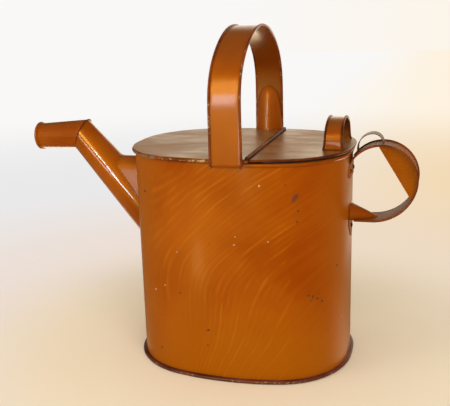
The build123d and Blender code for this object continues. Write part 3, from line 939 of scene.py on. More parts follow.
@dataclass(frozen=True)
class GrainedPaint(Finish):
    """Glossy orange-brown glaze, combed while wet, with specks and rubbed edges."""

    deep: Colour = srgb(148, 56, 0)
    warm: Colour = srgb(170, 76, 0)
    # Gold of the painted reflection of the warm floor.
    reflection_gold: Colour = srgb(168, 88, 0)
    pale: Colour = srgb(196, 112, 20)
    upward_colour: Colour = srgb(118, 82, 30)
    dark: Colour = srgb(60, 30, 12)
    tin: Colour = srgb(176, 156, 124)
    dust: Colour = srgb(166, 124, 84)
    gleam: Colour = (1.0, 0.60, 0.06, 1.0)
    comb: float = 1.0
    roughness: float = 0.34
    reach: float = 0.16
    fleck: float = 150.0
    painted_shade: float = 0.42
    coat: float = 0.06
    coat_rough: float = 0.14
    scuff: float = 0.0
    upward_tint: float = 0.0
    shine: float = 1.0

    def look(self, bench: Bench) -> dict[str, Any]:
        """Glaze with its combed lines, a painted reflection low down and at the ends, a tint on upward
        faces, scuffs, painted shade, specks and bare places.

        Args:
            bench: Pad of the material.

        Returns:
            What goes into the shader, by input name.
        """
        grain = bench.add("ShaderNodeUVMap", uv_map="grain")
        wear = bench.wear()
        drawn = {"Place": grain, "Pitch": COMB_PITCH}
        comb = bench.add("ShaderNodeGroup", drawn, node_tree=bench.effects.comb)
        lines, streaks = comb["Lines"], comb["Streaks"]
        mottle = bench.mottle(1.0)
        rub = bench.rub(wear, self.reach, self.fleck)
        bare = rub["Bare"]
        tone = mottle["Cloud"] * (1.0 - 0.4 * self.comb) + streaks * (0.4 * self.comb)
        panel = bench.split(grain)
        aside = bench.math("ABSOLUTE", panel[0] - 0.02)
        # Painted reflection of the warm floor and surroundings: each wall panel turns gold towards its
        # bottom and its two ends.
        painted_reflection = bench.most(bench.ramp(panel[1], 0.12, 0.01), bench.ramp(aside, 0.06, 0.13))
        shape = bench.split(bench.add("ShaderNodeTexCoord")["Normal"])
        wiped = bench.add("ShaderNodeMapping", {"Vector": bench.place, "Scale": (30.0, 72.0, 72.0)})
        scuffs = bench.ramp(bench.noise(wiped, 1.0, 5.0, 0.65), 0.32, 0.72)
        colour = bench.layers(
            bench.mix(bench.ramp(tone, 0.30, 0.70), self.deep, self.warm),
            (painted_reflection * (0.75 * self.comb), self.reflection_gold),
            (lines * (0.36 * self.comb), self.pale),
            # Upward-facing faces are blended towards an olive brown.
            (bench.ramp(shape[2], 0.55, 1.0, 0.0, self.upward_tint), self.upward_colour),
            (scuffs * self.scuff, self.dust),
            (rub["Thin"] * (bench.most(wear, 0.0) * 0.55), self.dark),
            # Painted shade: where the mesh's value is negative, on the inner faces of straps and on the
            # cheeks, the glaze is darkened.
            (bench.most(wear * -1.0, 0.0) * self.painted_shade, self.dark),
            (mottle["Specks"] * 0.75, self.dark),
            (bare, self.tin),
        )
        gloss = bench.ramp(mottle["Cloud"], 0.3, 0.7, self.roughness - 0.05, self.roughness + 0.10)
        combed = lines * (0.25 * self.comb) + streaks * (0.20 * self.comb)
        relief = combed + mottle["Skin"] * 0.30 - bare * 0.8
        return {"Base Color": colour, "Roughness": gloss + bare * 0.25 + scuffs * (0.28 * self.scuff),
                "Metallic": bare * 0.8, "Normal": bench.bump(relief, 0.14), "Specular IOR Level": self.shine,
                "Specular Tint": self.gleam, "IOR": 1.6, "Coat Weight": self.coat,
                "Coat Roughness": self.coat_rough}


@dataclass(frozen=True)
class TrimPaint(Finish):
    """Dark red-brown paint on the beads, rubbed through to grey tin along the crests."""

    deep: Colour = srgb(74, 26, 10)
    warm: Colour = srgb(140, 66, 12)
    tin: Colour = srgb(188, 166, 132)
    gleam: Colour = (1.0, 0.55, 0.30, 1.0)
    reach: float = 0.07
    roughness: float = 0.35
    shine: float = 0.45
    fleck: float = 170.0

    def look(self, bench: Bench) -> dict[str, Any]:
        """Clouded paint with thinned and bare places.

        Args:
            bench: Pad of the material.

        Returns:
            What goes into the shader, by input name.
        """
        mottle = bench.mottle(2.0)
        rub = bench.rub(bench.wear(), self.reach, self.fleck)
        bare = rub["Bare"]
        colour = bench.mix(bench.ramp(mottle["Cloud"], 0.35, 0.7), self.deep, self.warm)
        gloss = bench.ramp(mottle["Skin"], 0.3, 0.7, self.roughness - 0.06, self.roughness + 0.12)
        return {"Base Color": bench.layers(colour, (rub["Thin"] * 0.5, self.warm), (bare, self.tin)),
                "Roughness": gloss + bare * 0.15, "Metallic": bare * 0.85,
                "Normal": bench.bump(mottle["Skin"] * 0.4 - bare, 0.2), "Specular IOR Level": self.shine,
                "Specular Tint": self.gleam}


@dataclass(frozen=True)
class AgedTin(Finish):
    """Bare tinned sheet, dulled, with brown rust blooms."""

    bright: Colour = srgb(168, 162, 152)
    dull: Colour = srgb(96, 88, 78)
    rust: Colour = srgb(92, 52, 28)
    rusted: float = 0.55
    metal: float = 0.8
    shine: float = 0.5

    def look(self, bench: Bench) -> dict[str, Any]:
        """Clouded tin with blooms and specks of rust.

        Args:
            bench: Pad of the material.

        Returns:
            What goes into the shader, by input name.
        """
        mottle = bench.mottle(0.8)
        bloom = bench.rub(0.0, 0.3, 60.0)["Thin"] * self.rusted
        colour = bench.mix(bench.ramp(mottle["Cloud"], 0.3, 0.7), self.dull, self.bright)
        return {"Base Color": bench.layers(colour, (bloom, self.rust), (mottle["Specks"] * 0.8, self.rust)),
                "Metallic": bench.ramp(bloom, 0.0, 0.6, self.metal, 0.1),
                "Roughness": bench.ramp(mottle["Cloud"], 0.3, 0.7, 0.55, 0.36),
                "Normal": bench.bump(mottle["Skin"] + bloom, 0.2), "Specular IOR Level": self.shine}


@dataclass(frozen=True)
class Chip(Finish):
    """A small loss or smear in the paint."""

    base: Colour = srgb(48, 26, 16)
    edge: Colour = srgb(104, 56, 24)
    roughness: float = 0.55

    def look(self, bench: Bench) -> dict[str, Any]:
        """Two clouded colours and a rough skin.

        Args:
            bench: Pad of the material.

        Returns:
            What goes into the shader, by input name.
        """
        mottle = bench.mottle(8.0)
        rough = bench.ramp(mottle["Skin"], 0.3, 0.7, self.roughness - 0.1, self.roughness + 0.15)
        return {"Base Color": bench.mix(bench.ramp(mottle["Cloud"], 0.35, 0.68), self.base, self.edge),
                "Roughness": rough, "Normal": bench.bump(mottle["Skin"], 0.3, 0.0004)}


class Workshop:
    """The finishes and tools that all sub-assemblies share."""

    def __init__(self) -> None:
        """Builds every finish and tool once."""
        effects = SharedEffects()
        plain = GrainedPaint("strap_paint", deep=srgb(145, 59, 0), warm=srgb(165, 79, 2), comb=0.0,
                             reach=0.20, coat=0.45, coat_rough=0.19, upward_tint=0.35, shine=0.5)
        gloss = replace(plain, name="spout_paint", coat=0.8, coat_rough=0.05, upward_tint=0.0)
        matt = GrainedPaint("handle_paint", deep=srgb(132, 54, 2), warm=srgb(154, 76, 5), comb=0.0,
                            roughness=0.52, reach=0.10, coat=0.0, upward_tint=0.3, shine=0.3, painted_shade=0.2)
        top = GrainedPaint("top_paint", deep=srgb(100, 48, 10), warm=srgb(134, 72, 20), comb=0.0, reach=0.20,
                           coat=0.08, coat_rough=0.2, scuff=0.6)
        worn = TrimPaint("worn_bead_paint", deep=srgb(84, 30, 16), reach=0.20, fleck=200.0)
        hinge = TrimPaint("hinge_paint", deep=srgb(80, 38, 10), warm=srgb(124, 64, 14), reach=0.04,
                          roughness=0.5, shine=0.12)
        rim = TrimPaint("foot_paint", deep=srgb(66, 28, 20), warm=srgb(116, 58, 42), reach=0.14, shine=0.5,
                        fleck=260.0)
        rubbed = AgedTin("rubbed_paint", bright=srgb(118, 80, 44), dull=srgb(96, 58, 28),
                         rust=srgb(92, 48, 14), rusted=0.7, metal=0.1, shine=0.15)
        pale_chip = Chip("pale_chip", base=srgb(176, 160, 138), edge=srgb(206, 168, 118), roughness=0.5)
        smear = Chip("smeared_glaze", base=srgb(118, 54, 6), edge=srgb(136, 60, 2), roughness=0.4)
        self.paint = GrainedPaint("combed_paint", shine=0.6).build(effects)
        self.plain = plain.build(effects)
        # The loop paint darkens its inner faces more: painted shade.
        self.loop = replace(plain, name="loop_paint", painted_shade=0.75).build(effects)
        self.gloss = gloss.build(effects)
        self.matt = matt.build(effects)
        # The cheek paint darkens more towards the strap: painted shade.
        self.cheek = replace(matt, name="cheek_paint", painted_shade=0.6).build(effects)
        self.top = top.build(effects)
        self.trim = TrimPaint("bead_paint").build(effects)
        self.worn = worn.build(effects)
        self.seam = TrimPaint("seam_paint", reach=0.20, fleck=300.0).build(effects)
        self.hinge = hinge.build(effects)
        self.rim = rim.build(effects)
        self.tin = AgedTin("aged_tin").build(effects)
        self.rubbed = rubbed.build(effects)
        self.pale_chip = pale_chip.build(effects)
        self.dark_chip = Chip("dark_chip").build(effects)
        self.smear = smear.build(effects)
        self.wire = WireTool()
        self.oval = Oval()


# Sub-assemblies


@dataclass
class CanBody:
    """Oval can: two wall sheets, base with rolled foot, fixed half of the top, wired mouth and hinge."""

    shop: Workshop
    wall_foot: float = 2.2
    wall_top: float = 239.0
    mouth_top: float = 234.6
    height: float = 240.0
    plate_edge: float = 24.9
    mouth_edge: float = 25.75
    wall_step: float = 3.0
    bead_grow: float = 2.4
    rod: float = 1.0
    rod_ends: Pair = (3.0, 6.0)
    far_short: float = 5.0
    notch: float = 0.0006
    bead_past: float = 4.0
    foot_roll: float = 2.0
    base_faces: Pair = (1.4, 2.1)
    bead_roll: float = 1.95
    bead_z: float = 237.4
    mouth_z: float = 233.65
    leaf_low: float = 239.25
    hold_low: float = 10.0
    hold_high: float = 228.0
    hold_aside: float = 135.0
    hold_fade: float = 25.0
    drill_span: Pair = (60.0, 160.0)
    hinge_x: float = 27.3
    hinge_z: float = 241.1
    barrel: float = 1.9
    bore: float = 1.05
    hinge_half: float = 94.6
    end_knuckle: float = 22.0
    middle_knuckle: float = 40.0
    elbow: Pair = (-193.6, 245.1)
    spout_way: Pair = (0.6600, -0.7513)
    spout_hole: float = 15.9
    spout_taper: float = 0.0517
    front_marks: tuple[Dent, ...] = (
        (-26.0, 128.0, 26.0, 34.0, 0.55), (48.0, 70.0, 30.0, 40.0, -0.5), (-70.0, 60.0, 24.0, 30.0, 0.4),
        (40.0, 190.0, 34.0, 22.0, 0.4), (85.0, 150.0, 22.0, 40.0, -0.4), (-60.0, 190.0, 30.0, 26.0, -0.4),
        (10.0, 30.0, 40.0, 16.0, 0.35),
    )
    top_marks: tuple[Dent, ...] = (
        (-50.0, -45.0, 30.0, 26.0, -0.45), (-20.0, 40.0, 36.0, 30.0, 0.3), (-80.0, 20.0, 26.0, 30.0, -0.3),
    )
    back_marks: tuple[Dent, ...] = (
        (30.0, 150.0, 30.0, 40.0, -0.5), (-60.0, 90.0, 26.0, 34.0, 0.5), (-10.0, 50.0, 40.0, 24.0, -0.4),
        (70.0, 200.0, 24.0, 24.0, 0.4),
    )

    def build(self) -> None:
        """Makes every piece of the can's body."""
        shop = self.shop
        for name, sign, node in (("front_wall", -1, "front_sheet"), ("back_wall", 1, "back_sheet")):
            settle(self.wall(name, sign), Body.CAN, Slot.PAINT, node)
        self.foot()
        self.top_deck()
        self.top_bead()
        self.mouth()
        end = self.hinge_half - self.end_knuckle / 2
        spans = [(-end, self.end_knuckle), (0.0, self.middle_knuckle),
                 (end - self.far_short / 2, self.end_knuckle - self.far_short)]
        settle(self.knuckles("hinge_knuckles", spans, self.plate_edge), Body.CAN, Slot.PAINT)
        along = np.linspace(self.rod_ends[0] - self.hinge_half, self.hinge_half - self.rod_ends[1], 9)
        pin = points_of(self.hinge_x, along, self.hinge_z)
        settle(shop.wire.roll("hinge_rod", [pin], self.rod, shop.tin), Body.CAN, Slot.TIN, "hinge_pin")

    def on_front(self, along: float, height: float, lift: float) -> tuple[Array, Array]:
        """Place and outward way of a point on the front wall.

        Args:
            along: Distance along the wall from its middle, towards +X.
            height: Height over the floor.
            lift: Distance off the wall.

        Returns:
            The point and the way.
        """
        turns = np.linspace(-pi, 0, FINE_STEPS)
        run = self.shop.oval.run(turns)
        turn = float(np.interp(along + run[-1] / 2, run, turns))
        dent = float(dents(np.array(along), np.array(height), self.front_marks))
        plan = self.shop.oval.place(turn, lift + dent * self.hold(np.array(height), along))
        return np.array([plan[0], plan[1], height]), np.array([cos(turn), sin(turn), 0.0])

    def hold(self, height: Array, along: Any) -> Array:
        """How far unevenness may show: none where the rims and the end seams hold the sheet."""
        room = (height - self.hold_low, self.hold_high - height, self.hold_aside - np.abs(along))
        return np.prod([np.clip(r / self.hold_fade, 0, 1) for r in np.broadcast_arrays(*room)], axis=0)

    def wall(self, name: str, sign: int) -> Piece:
        """One wall sheet with its end seams and its half of the spout's hole.

        Args:
            name: Name of the piece.
            sign: -1 for the front, 1 for the back.

        Returns:
            The piece.
        """
        oval = self.shop.oval
        cut = acos(self.plate_edge / oval.side_radius)
        turns = oval.turns(sign * pi, 0.0, self.wall_step)
        step = sign * np.array([cut + self.notch, cut - self.notch])
        turns = np.sort(np.concatenate([turns, step]))[::-sign]
        run = oval.run(turns)
        run = run - run[-1] / 2
        x = oval.place(turns)[:, 0]
        tops = np.where(x < self.plate_edge, self.wall_top, self.mouth_top)
        shares = np.linspace(0, 1, 49)
        z = self.wall_foot + shares[:, None] * (tops - self.wall_foot)[None, :]
        turn, along = np.broadcast_to(turns, z.shape), np.broadcast_to(run, z.shape)
        bulge = dents(along, z, self.front_marks if sign < 0 else self.back_marks) * self.hold(z, along)
        faces = [np.concatenate([oval.place(turn, bulge - inset), z[..., None]], axis=-1)
                 for inset in (0.0, SHEET)]
        skin = Skin()
        skin.shell(*faces, points_of(along, z), 0.0, 1)
        piece = skin.make(name, self.shop.paint, self.shop.tin)
        self.cut_spout_hole(piece)
        return piece

    def cut_spout_hole(self, piece: Piece) -> None:
        """Cuts the spout's slanting hole through a wall.

        Args:
            piece: The wall.
        """
        way = np.array([self.spout_way[0], 0.0, self.spout_way[1]])
        turn = np.linspace(0, 2 * pi, 65)
        rings = []
        for along in self.drill_span:
            reach = self.spout_hole + along * self.spout_taper
            middle = np.array([self.elbow[0], 0.0, self.elbow[1]]) + way * along
            rings.append(middle + reach * ways_round(way, turn))
        skin = Skin()
        grid = np.stack(rings)
        skin.patch(grid, np.zeros((*grid.shape[:2], 2)))
        for ring in rings:
            skin.cap(ring[:-1], np.zeros((len(turn) - 1, 2)))
        drill = skin.make(piece.name + "_drill", self.shop.tin)
        cutter = piece.modifiers.new("spout_hole", "BOOLEAN")
        cutter.operation, cutter.solver, cutter.object = "DIFFERENCE", "EXACT", drill
        cast(piece)
        bpy.data.objects.remove(drill)

    def foot(self) -> None:
        """Base sheet with the rolled rim that the can stands on."""
        oval = self.shop.oval
        roll = arc((1.95, self.foot_roll), self.foot_roll, 118, -90, 18)
        profile = np.vstack([[(-0.3, 4.4), (0.2, 4.0)], roll, [(0.6, 0.0), (-0.4, 0.6), (-0.4, 3.6)]])
        crest = np.clip(np.cos(np.linspace(-1.9, 1.9, len(roll))), 0, 1)
        wear = np.concatenate([[0, 0], crest, [0.3, 0, 0]])
        skin = Skin()
        oval.ring(skin, profile, None, wear)
        turns = oval.turns(-pi, pi, 5.0)
        shares = np.linspace(0.0, 1.0, 9)
        plan = oval.place(turns, -0.2)[None] * shares[:, None, None]
        faces = [points_of(plan[..., 0], plan[..., 1], height) for height in self.base_faces]
        for grid in faces:
            skin.patch(grid, plan, 0.0, 1)
        skin.patch(np.stack([grid[-1] for grid in faces]), np.stack([plan[-1], plan[-1]]), 0.0, 1)
        settle(skin.make("foot_rim", self.shop.rim, self.shop.tin), Body.CAN, Slot.TRIM, "base_plate")

    def top_deck(self) -> None:
        """Fixed half of the top, a sheet that the years have made a little wavy."""
        oval = self.shop.oval
        end = -(oval.length / 2 + self.bead_grow)
        share = np.linspace(0, 1, 44)
        x = self.plate_edge + (end - self.plate_edge) * np.sin(share * pi / 2)
        skin = Skin()
        half_deck(skin, oval, x, self.bead_grow, self.height, self.top_marks)
        settle(skin.make("top_deck", self.shop.top, self.shop.tin), Body.CAN, Slot.PAINT, "top_plate")

    def top_bead(self) -> None:
        """Rolled seam that locks the top onto the wall."""
        roll = arc((1.6, self.bead_z), self.bead_roll, -112, 62, 16)
        profile = np.vstack([[(-0.4, 235.6)], roll, [(2.2, 239.3), (-0.4, 239.2)]])
        crest = np.clip(np.cos(np.linspace(-2.1, 1.3, len(roll))), 0, 1)
        wear = np.concatenate([[0], 0.5 + 0.5 * crest, [0.8, 0]])
        skin = Skin()
        self.shop.oval.ring(skin, profile, (self.plate_edge + self.bead_past, False), wear)
        settle(skin.make("top_seam_bead", self.shop.seam), Body.CAN, Slot.TRIM)

    def mouth(self) -> None:
        """Wired edge of the open half of the top."""
        roll = arc((0.0, self.mouth_z), self.bead_roll, -92, 90, 14)
        profile = np.vstack([roll, [(-0.5, 235.6), (-0.9, 235.2), (-0.9, 231.9)]])
        wear = np.concatenate([0.3 * np.sin(np.linspace(0, pi, len(roll))), [0.2, 0, 0]])
        skin = Skin()
        self.shop.oval.ring(skin, profile, (self.mouth_edge, True), wear)
        settle(skin.make("mouth_wire", self.shop.plain), Body.CAN, Slot.TRIM, "mouth_bead")

    def knuckles(self, name: str, spans: Sequence[Pair], edge: float) -> Piece:
        """Curled ends of a plate round the hinge rod.

        Args:
            name: Name of the piece.
            spans: Middle and length of each knuckle along the hinge.
            edge: Edge of the plate that the knuckles grow from.

        Returns:
            The piece.
        """
        skin = Skin()
        side = 1.0 if edge < self.hinge_x else -1.0
        turn = np.radians(np.linspace(-90, 270, 25))
        for middle, length in spans:
            y = middle + np.linspace(-length / 2, length / 2, 9)
            walls = []
            for reach in (self.barrel, self.bore):
                x = self.hinge_x + side * reach * np.cos(turn)
                z = self.hinge_z + reach * np.sin(turn)
                walls.append(points_of(x[None], y[:, None], z[None]))
            flow = points_of(turn[None] * self.barrel, y[:, None])
            skin.patch(walls[0], flow, 0.55)
            skin.patch(walls[1], flow, 0.0, 1)
            for end in (0, -1):
                skin.patch(np.stack([wall[end] for wall in walls]), np.stack([flow[end], flow[end]]), 0.9)
            leaf = np.array([(edge - side * 0.8, self.leaf_low), (self.hinge_x - side * 0.2, self.leaf_low),
                             (self.hinge_x - side * 0.9, 240.3), (edge - side * 0.8, 240.02)])
            ends = [np.column_stack([leaf[:, 0], np.full(4, y[i]), leaf[:, 1]]) for i in (0, -1)]
            ring = np.stack([np.vstack([e, e[:1]]) for e in ends])
            skin.patch(ring, ring[..., :2], 0.35)
            for e in ends:
                skin.cap(e, e[:, :2], 0.5)
        return skin.make(name, self.shop.hinge, self.shop.tin)


def half_deck(skin: Skin, oval: Oval, x: Array, grow: float, top: float, marks: Sequence[Dent]) -> None:
    """Adds a level sheet between a straight edge and one end of the oval to a skin.

    Args:
        skin: Skin that takes the faces.
        oval: Plan outline.
        x: Places along the can, from the straight edge to the end.
        grow: Outward distance of the sheet's edge.
        top: Height of the upper face.
        marks: Dents and bulges of the sheet.
    """
    side_hold, hinge_hold, end_hold, highest, sag = 0.12, 18.0, 14.0, 0.35, 0.05
    shares = np.sin(np.linspace(-pi / 2, pi / 2, 49))
    y = oval.half_width(x, grow)[:, None] * shares[None, :]
    wide = np.broadcast_to(x[:, None], y.shape)
    side = np.clip((1 - np.abs(shares)) / side_hold, 0, 1)[None, :]
    hinge = np.clip(np.abs(x - x[0]) / hinge_hold, 0, 1)[:, None]
    end = np.clip((np.abs(x[-1] - x) / end_hold), 0, 1)[:, None]
    level = top + (np.minimum(dents(wide, y, marks) * (side * hinge) * end, highest) - sag)
    skin.shell(points_of(wide, y, level), points_of(wide, y, level - SHEET), points_of(wide, y), 0.0, 1)


@dataclass(frozen=True)
class Arch:
    """Flattened arch with upright legs that spans the can, measured on its inner face."""

    half_span: float
    crown: float
    rise: float
    shoulder: float

    def line(self, foot: float) -> tuple[Array, Array]:
        """Points and outward ways of the arch from the front leg's foot to the back one's.

        Args:
            foot: Height where the legs start.

        Returns:
            Y and Z of the points, and of the outward ways.
        """
        springing = self.crown - self.rise
        inset = self.half_span - self.shoulder
        radius = (inset**2 + self.rise**2 - self.shoulder**2) / (2 * (self.rise - self.shoulder))
        turn = np.degrees(atan2(radius - self.rise, inset))
        legs = np.linspace(foot, springing, max(int((springing - foot) / 4), 2) + 1)[:-1]
        steps = max(int(turn / 3), 6)
        front = np.radians(np.linspace(180, 180 - turn, steps + 1))[:-1]
        over = np.radians(np.linspace(180 - turn, turn, 2 * steps + 1))[:-1]
        back = np.radians(np.linspace(turn, 0, steps + 1))
        points = [points_of(-self.half_span, legs)]
        ways = [np.tile([-1.0, 0.0], (len(legs), 1))]
        middle = self.crown - radius
        for y, z, reach, angles in ((-inset, springing, self.shoulder, front), (0.0, middle, radius, over),
                                    (inset, springing, self.shoulder, back)):
            way = ways_at(angles)
            points.append(np.array([y, z]) + reach * way)
            ways.append(way)
        points.append(points_of(self.half_span, legs[::-1]))
        ways.append(np.tile([1.0, 0.0], (len(legs), 1)))
        return np.vstack(points), np.vstack(ways)

    def route(self, foot: float, middle: float) -> Route:
        """Route of the arch across the can at one place along it.

        Args:
            foot: Height where the legs start.
            middle: X of the arch.

        Returns:
            The route.
        """
        points, ways = self.line(foot)
        still = np.zeros((len(points), 1))
        return Route(np.hstack([still + middle, points]), np.tile([1.0, 0.0, 0.0], (len(points), 1)),
                     np.hstack([still, ways]))


@dataclass
class HalfCone:
    """Brace bent from sheet into half a cone with a rounded tip."""

    base: float
    tip: float
    height: float
    blunt: float
    bulge: float

    def outline(self) -> Array:
        """Half widths and heights of the brace from its foot to its rounded tip, n by 2.

        Returns:
            The outline of one side.
        """
        share = np.sin(np.linspace(0, pi / 2, 26))
        rounded = np.sqrt(np.maximum(1 - share**self.blunt, 0.0))
        return np.column_stack([(self.base + (self.tip - self.base) * share) * rounded, share * self.height])

    def add(self, skin: Skin, place: Callable[[Array], Array]) -> None:
        """Adds the brace to a skin.

        Args:
            skin: Skin that takes the faces.
            place: Moves points that stand along +Z and bulge to +Y into the can's frame.
        """
        reach, z = self.outline().T
        turn = np.radians(np.linspace(0, 180, 31))
        shells = []
        for inset in (0.0, SHEET):
            r = np.maximum(reach - inset, 0.0)[:, None]
            low = np.minimum(z, self.height - inset)[:, None]
            depth = r * self.bulge
            grid = points_of(r * np.cos(turn)[None], depth * np.sin(turn)[None], low)
            shells.append(place(grid.reshape(-1, 3)).reshape(grid.shape))
        flow = points_of(turn[None] * self.base, z[:, None])
        skin.shell(*shells, flow)

    def seam(self, place: Callable[[Array], Array]) -> Array:
        """Line of solder where the brace meets the strap, placed as the brace is.

        Args:
            place: Moves points as it does for the brace.

        Returns:
            Points of the line, n by 3.
        """
        side = self.outline()
        line = np.vstack([side, side[-2::-1] * np.array([-1.0, 1.0])])
        return place(np.column_stack([line[:, 0], np.full(len(line), 0.15), line[:, 1]]))


@dataclass
class CarryHoop:
    """Carrying hoop over the top: strap, wired edges, feet dressed over the seam and two braces."""

    shop: Workshop
    middle: float = 7.0
    foot_width: float = 33.8
    crown_width: float = 32.4
    base: float = 240.0
    foot_top: float = 235.6
    foot_low: float = 232.6
    foot_round: float = 2.8
    foot_curl: float = 2.6
    foot_seat: float = 93.8
    soften: float = 9.0
    wire: float = 1.3
    seam: float = 0.45
    arch: Arch = field(default_factory=lambda: Arch(98.0, 364.1, 69.0, 50.0))
    brace: HalfCone = field(default_factory=lambda: HalfCone(16.6, 11.2, 51.0, 8.0, 0.80))

    def half_width(self, z: Array) -> Array:
        """Half the strap's width at a height.

        Args:
            z: Heights.

        Returns:
            Half widths.
        """
        lean = (self.foot_width - self.crown_width) / 2 / (self.arch.crown - self.base)
        round_end = self.foot_round * (1 - np.sqrt(1 - self.tuck(z) ** 2))
        return self.foot_width / 2 - np.maximum(z - self.base, 0) * lean - round_end

    def build(self) -> None:
        """Makes every piece of the hoop."""
        shop = self.shop
        route = self.dressed(self.arch.route(self.foot_top, self.middle))
        half = self.half_width(route.points[:, 2])
        skin = Skin()
        route.strap(skin, half)
        for sign in (-1, 1):
            self.pad(skin, sign)
        settle(skin.make("hoop_strap", shop.plain), Body.CAN, Slot.PAINT, "carry_strap")
        for sign, side in ((-1, "left"), (1, "right")):
            path = route.shifted(sign * (half - self.wire + EDGE_LAP), 1.0)
            wire = shop.wire.roll("hoop_wire_" + side, [path], self.wire, shop.worn, wear=0.8)
            settle(wire, Body.CAN, Slot.TRIM, "carry_bead_" + side)
        seams = []
        for sign, side in ((-1, "front"), (1, "back")):
            def stand(p: Array, s: int = sign) -> Array:
                """Points of a brace moved to the foot of its leg."""
                return np.column_stack([self.middle - s * p[:, 0], s * (self.arch.half_span - p[:, 1]),
                                        self.base + p[:, 2]])
            skin = Skin()
            self.brace.add(skin, stand)
            settle(skin.make(side + "_brace", shop.plain), Body.CAN, Slot.PAINT, "carry_brace_" + side)
            seams.append(self.brace.seam(stand))
        settle(shop.wire.roll("brace_seams", seams, self.seam, shop.trim, sides=8), Body.CAN, Slot.TRIM)

    def tuck(self, z: Array) -> Array:
        """Share of the way down a foot's rounded end, 0 above it."""
        return np.clip((self.foot_low + self.foot_round - z) / self.foot_round, 0, 1)

    def foot_reach(self, z: Array) -> Array:
        """Distance of a foot's inner face from the can's middle at a height."""
        return self.arch.half_span - self.foot_curl * (1 - np.sqrt(1 - (0.95 * self.tuck(z)) ** 2))

    def dressed(self, route: Route) -> Route:
        """Lengthens the hoop's route at both ends, where the strap is dressed over the top seam.

        Args:
            route: Route from one seam to the other.

        Returns:
            The longer route.
        """
        z = np.linspace(self.foot_low, self.foot_top, 14)[:-1]
        front = points_of(self.middle, -self.foot_reach(z), z)
        back = front[::-1] * np.array([1.0, -1.0, 1.0])
        points = np.vstack([front, eased(route.points, self.soften), back])
        across = np.tile([1.0, 0.0, 0.0], (len(points), 1))
        out = np.cross(across, np.gradient(points, axis=0))
        return Route(points, across, out / np.linalg.norm(out, axis=1)[:, None])

    def pad(self, skin: Skin, sign: int) -> None:
        """Adds the packing between a foot and the wall to a skin.

        Args:
            skin: Skin that takes the faces.
            sign: -1 for the front foot, 1 for the back one.
        """
        z = np.linspace(self.foot_top, self.foot_low + 0.5, 8)
        half = self.half_width(z) - 1.0
        outer = self.foot_reach(z) - EDGE_LAP
        x = self.middle + half[:, None] * np.linspace(-1, 1, 5)[None, :]
        tall = z[:, None]
        front, back = (points_of(x, sign * y, tall) for y in (outer[:, None], self.foot_seat))
        skin.shell(front, back, points_of(x - self.middle, tall))


@dataclass
class HingedLid:
    """Lid over the rear half of the top, with its wired rim, collar and lift loop."""

    shop: Workshop
    body: CanBody
    edge: float = 29.7
    proud: float = 3.8
    rim_inset: float = 1.3
    top: float = 240.0
    wire: float = 1.22
    collar_edge: float = 41.7
    collar_low: float = 231.2
    loop_x: float = 102.5
    loop_width: float = 20.0
    loop_inset: float = 0.6
    loop_flare: float = 1.6
    flare_height: float = 6.0
    knuckle_gap: float = 0.5
    loop_wire: float = 1.2
    seam: float = 0.55
    arch: Arch = field(default_factory=lambda: Arch(33.6, 268.2, 21.0, 17.0))
    marks: tuple[Dent, ...] = (
        (75.0, -40.0, 26.0, 30.0, -0.4), (60.0, 35.0, 26.0, 28.0, 0.3), (95.0, 20.0, 20.0, 30.0, -0.25),
    )

    def build(self) -> None:
        """Makes every piece of the lid."""
        shop = self.shop
        grow = self.proud - self.rim_inset
        end = shop.oval.length / 2 + self.proud - self.rim_inset
        x = self.edge + (end - self.edge) * np.sin(np.linspace(0, 1, 40) * pi / 2)
        skin = Skin()
        half_deck(skin, shop.oval, x, grow, self.top, self.marks)
        settle(skin.make("lid_sheet", shop.top, shop.tin), Body.LID, Slot.PAINT, "lid_plate")
        body, gap = self.body, self.knuckle_gap
        half = body.hinge_half - body.end_knuckle - body.middle_knuckle / 2 - 2 * gap
        middle = body.middle_knuckle / 2 + gap + half / 2
        leaves = body.knuckles("lid_knuckles", [(-middle, half), (middle, half)], self.edge)
        settle(leaves, Body.LID, Slot.PAINT)
        self.rim()
        self.collar()
        self.loop()

    def rim(self) -> None:
        """Wired edge that the lid's sheet is rolled over."""
        roll = arc((self.proud - self.wire, self.top - self.wire), self.wire, -160, 90, 16)
        tuck = [(self.proud - 2.0, self.top + 0.02), (self.proud - 2.2, self.top - 0.9)]
        profile = np.vstack([roll, tuck])
        skin = Skin()
        wear = np.concatenate([np.linspace(0.2, 1.0, len(roll)), [0.6, 0.0]])
        self.shop.oval.ring(skin, profile, (self.edge, True), wear)
        settle(skin.make("lid_wire", self.shop.trim), Body.LID, Slot.TRIM, "lid_rim")

    def collar(self) -> None:
        """Ring under the lid that drops into the mouth."""
        profile = np.array([(-3.8, self.top - 0.9), (-3.8, self.collar_low + 0.3), (-4.0, self.collar_low),
                            (-4.4, self.collar_low), (-4.6, self.collar_low + 0.3), (-4.6, self.top - 0.9)])
        skin = Skin()
        self.shop.oval.ring(skin, profile, (self.collar_edge, True), step=3.0)
        settle(skin.make("collar", self.shop.tin), Body.LID, Slot.TIN, "lid_collar")

    def loop(self) -> None:
        """Lift loop: strap and wired edges."""
        shop = self.shop
        route = self.arch.route(self.top - 0.2, self.loop_x)
        skin = Skin()
        flare = self.loop_flare * np.exp((self.top - route.points[:, 2]) / self.flare_height)
        half = self.loop_width / 2 - self.loop_inset + flare
        route.strap(skin, half)
        settle(skin.make("loop_strap", shop.loop), Body.LID, Slot.PAINT, "lift_strap")
        for sign, side in ((-1, "left"), (1, "right")):
            path = route.shifted(sign * (half - self.loop_wire + EDGE_LAP), 1.0)
            wire = shop.wire.roll("loop_wire_" + side, [path], self.loop_wire, shop.trim)
            settle(wire, Body.LID, Slot.TRIM, "lift_bead_" + side)
        across = np.linspace(-1, 1, 9)[:, None] * np.array([half[0] - 0.4, 0.0, 0.0])
        lift = np.array([0.0, 0.0, 0.35])
        seams = [route.points[i] + across + route.out[i] * 0.9 + lift for i in (0, -1)]
        settle(shop.wire.roll("loop_seams", seams, self.seam, shop.trim, sides=8), Body.LID, Slot.TRIM)


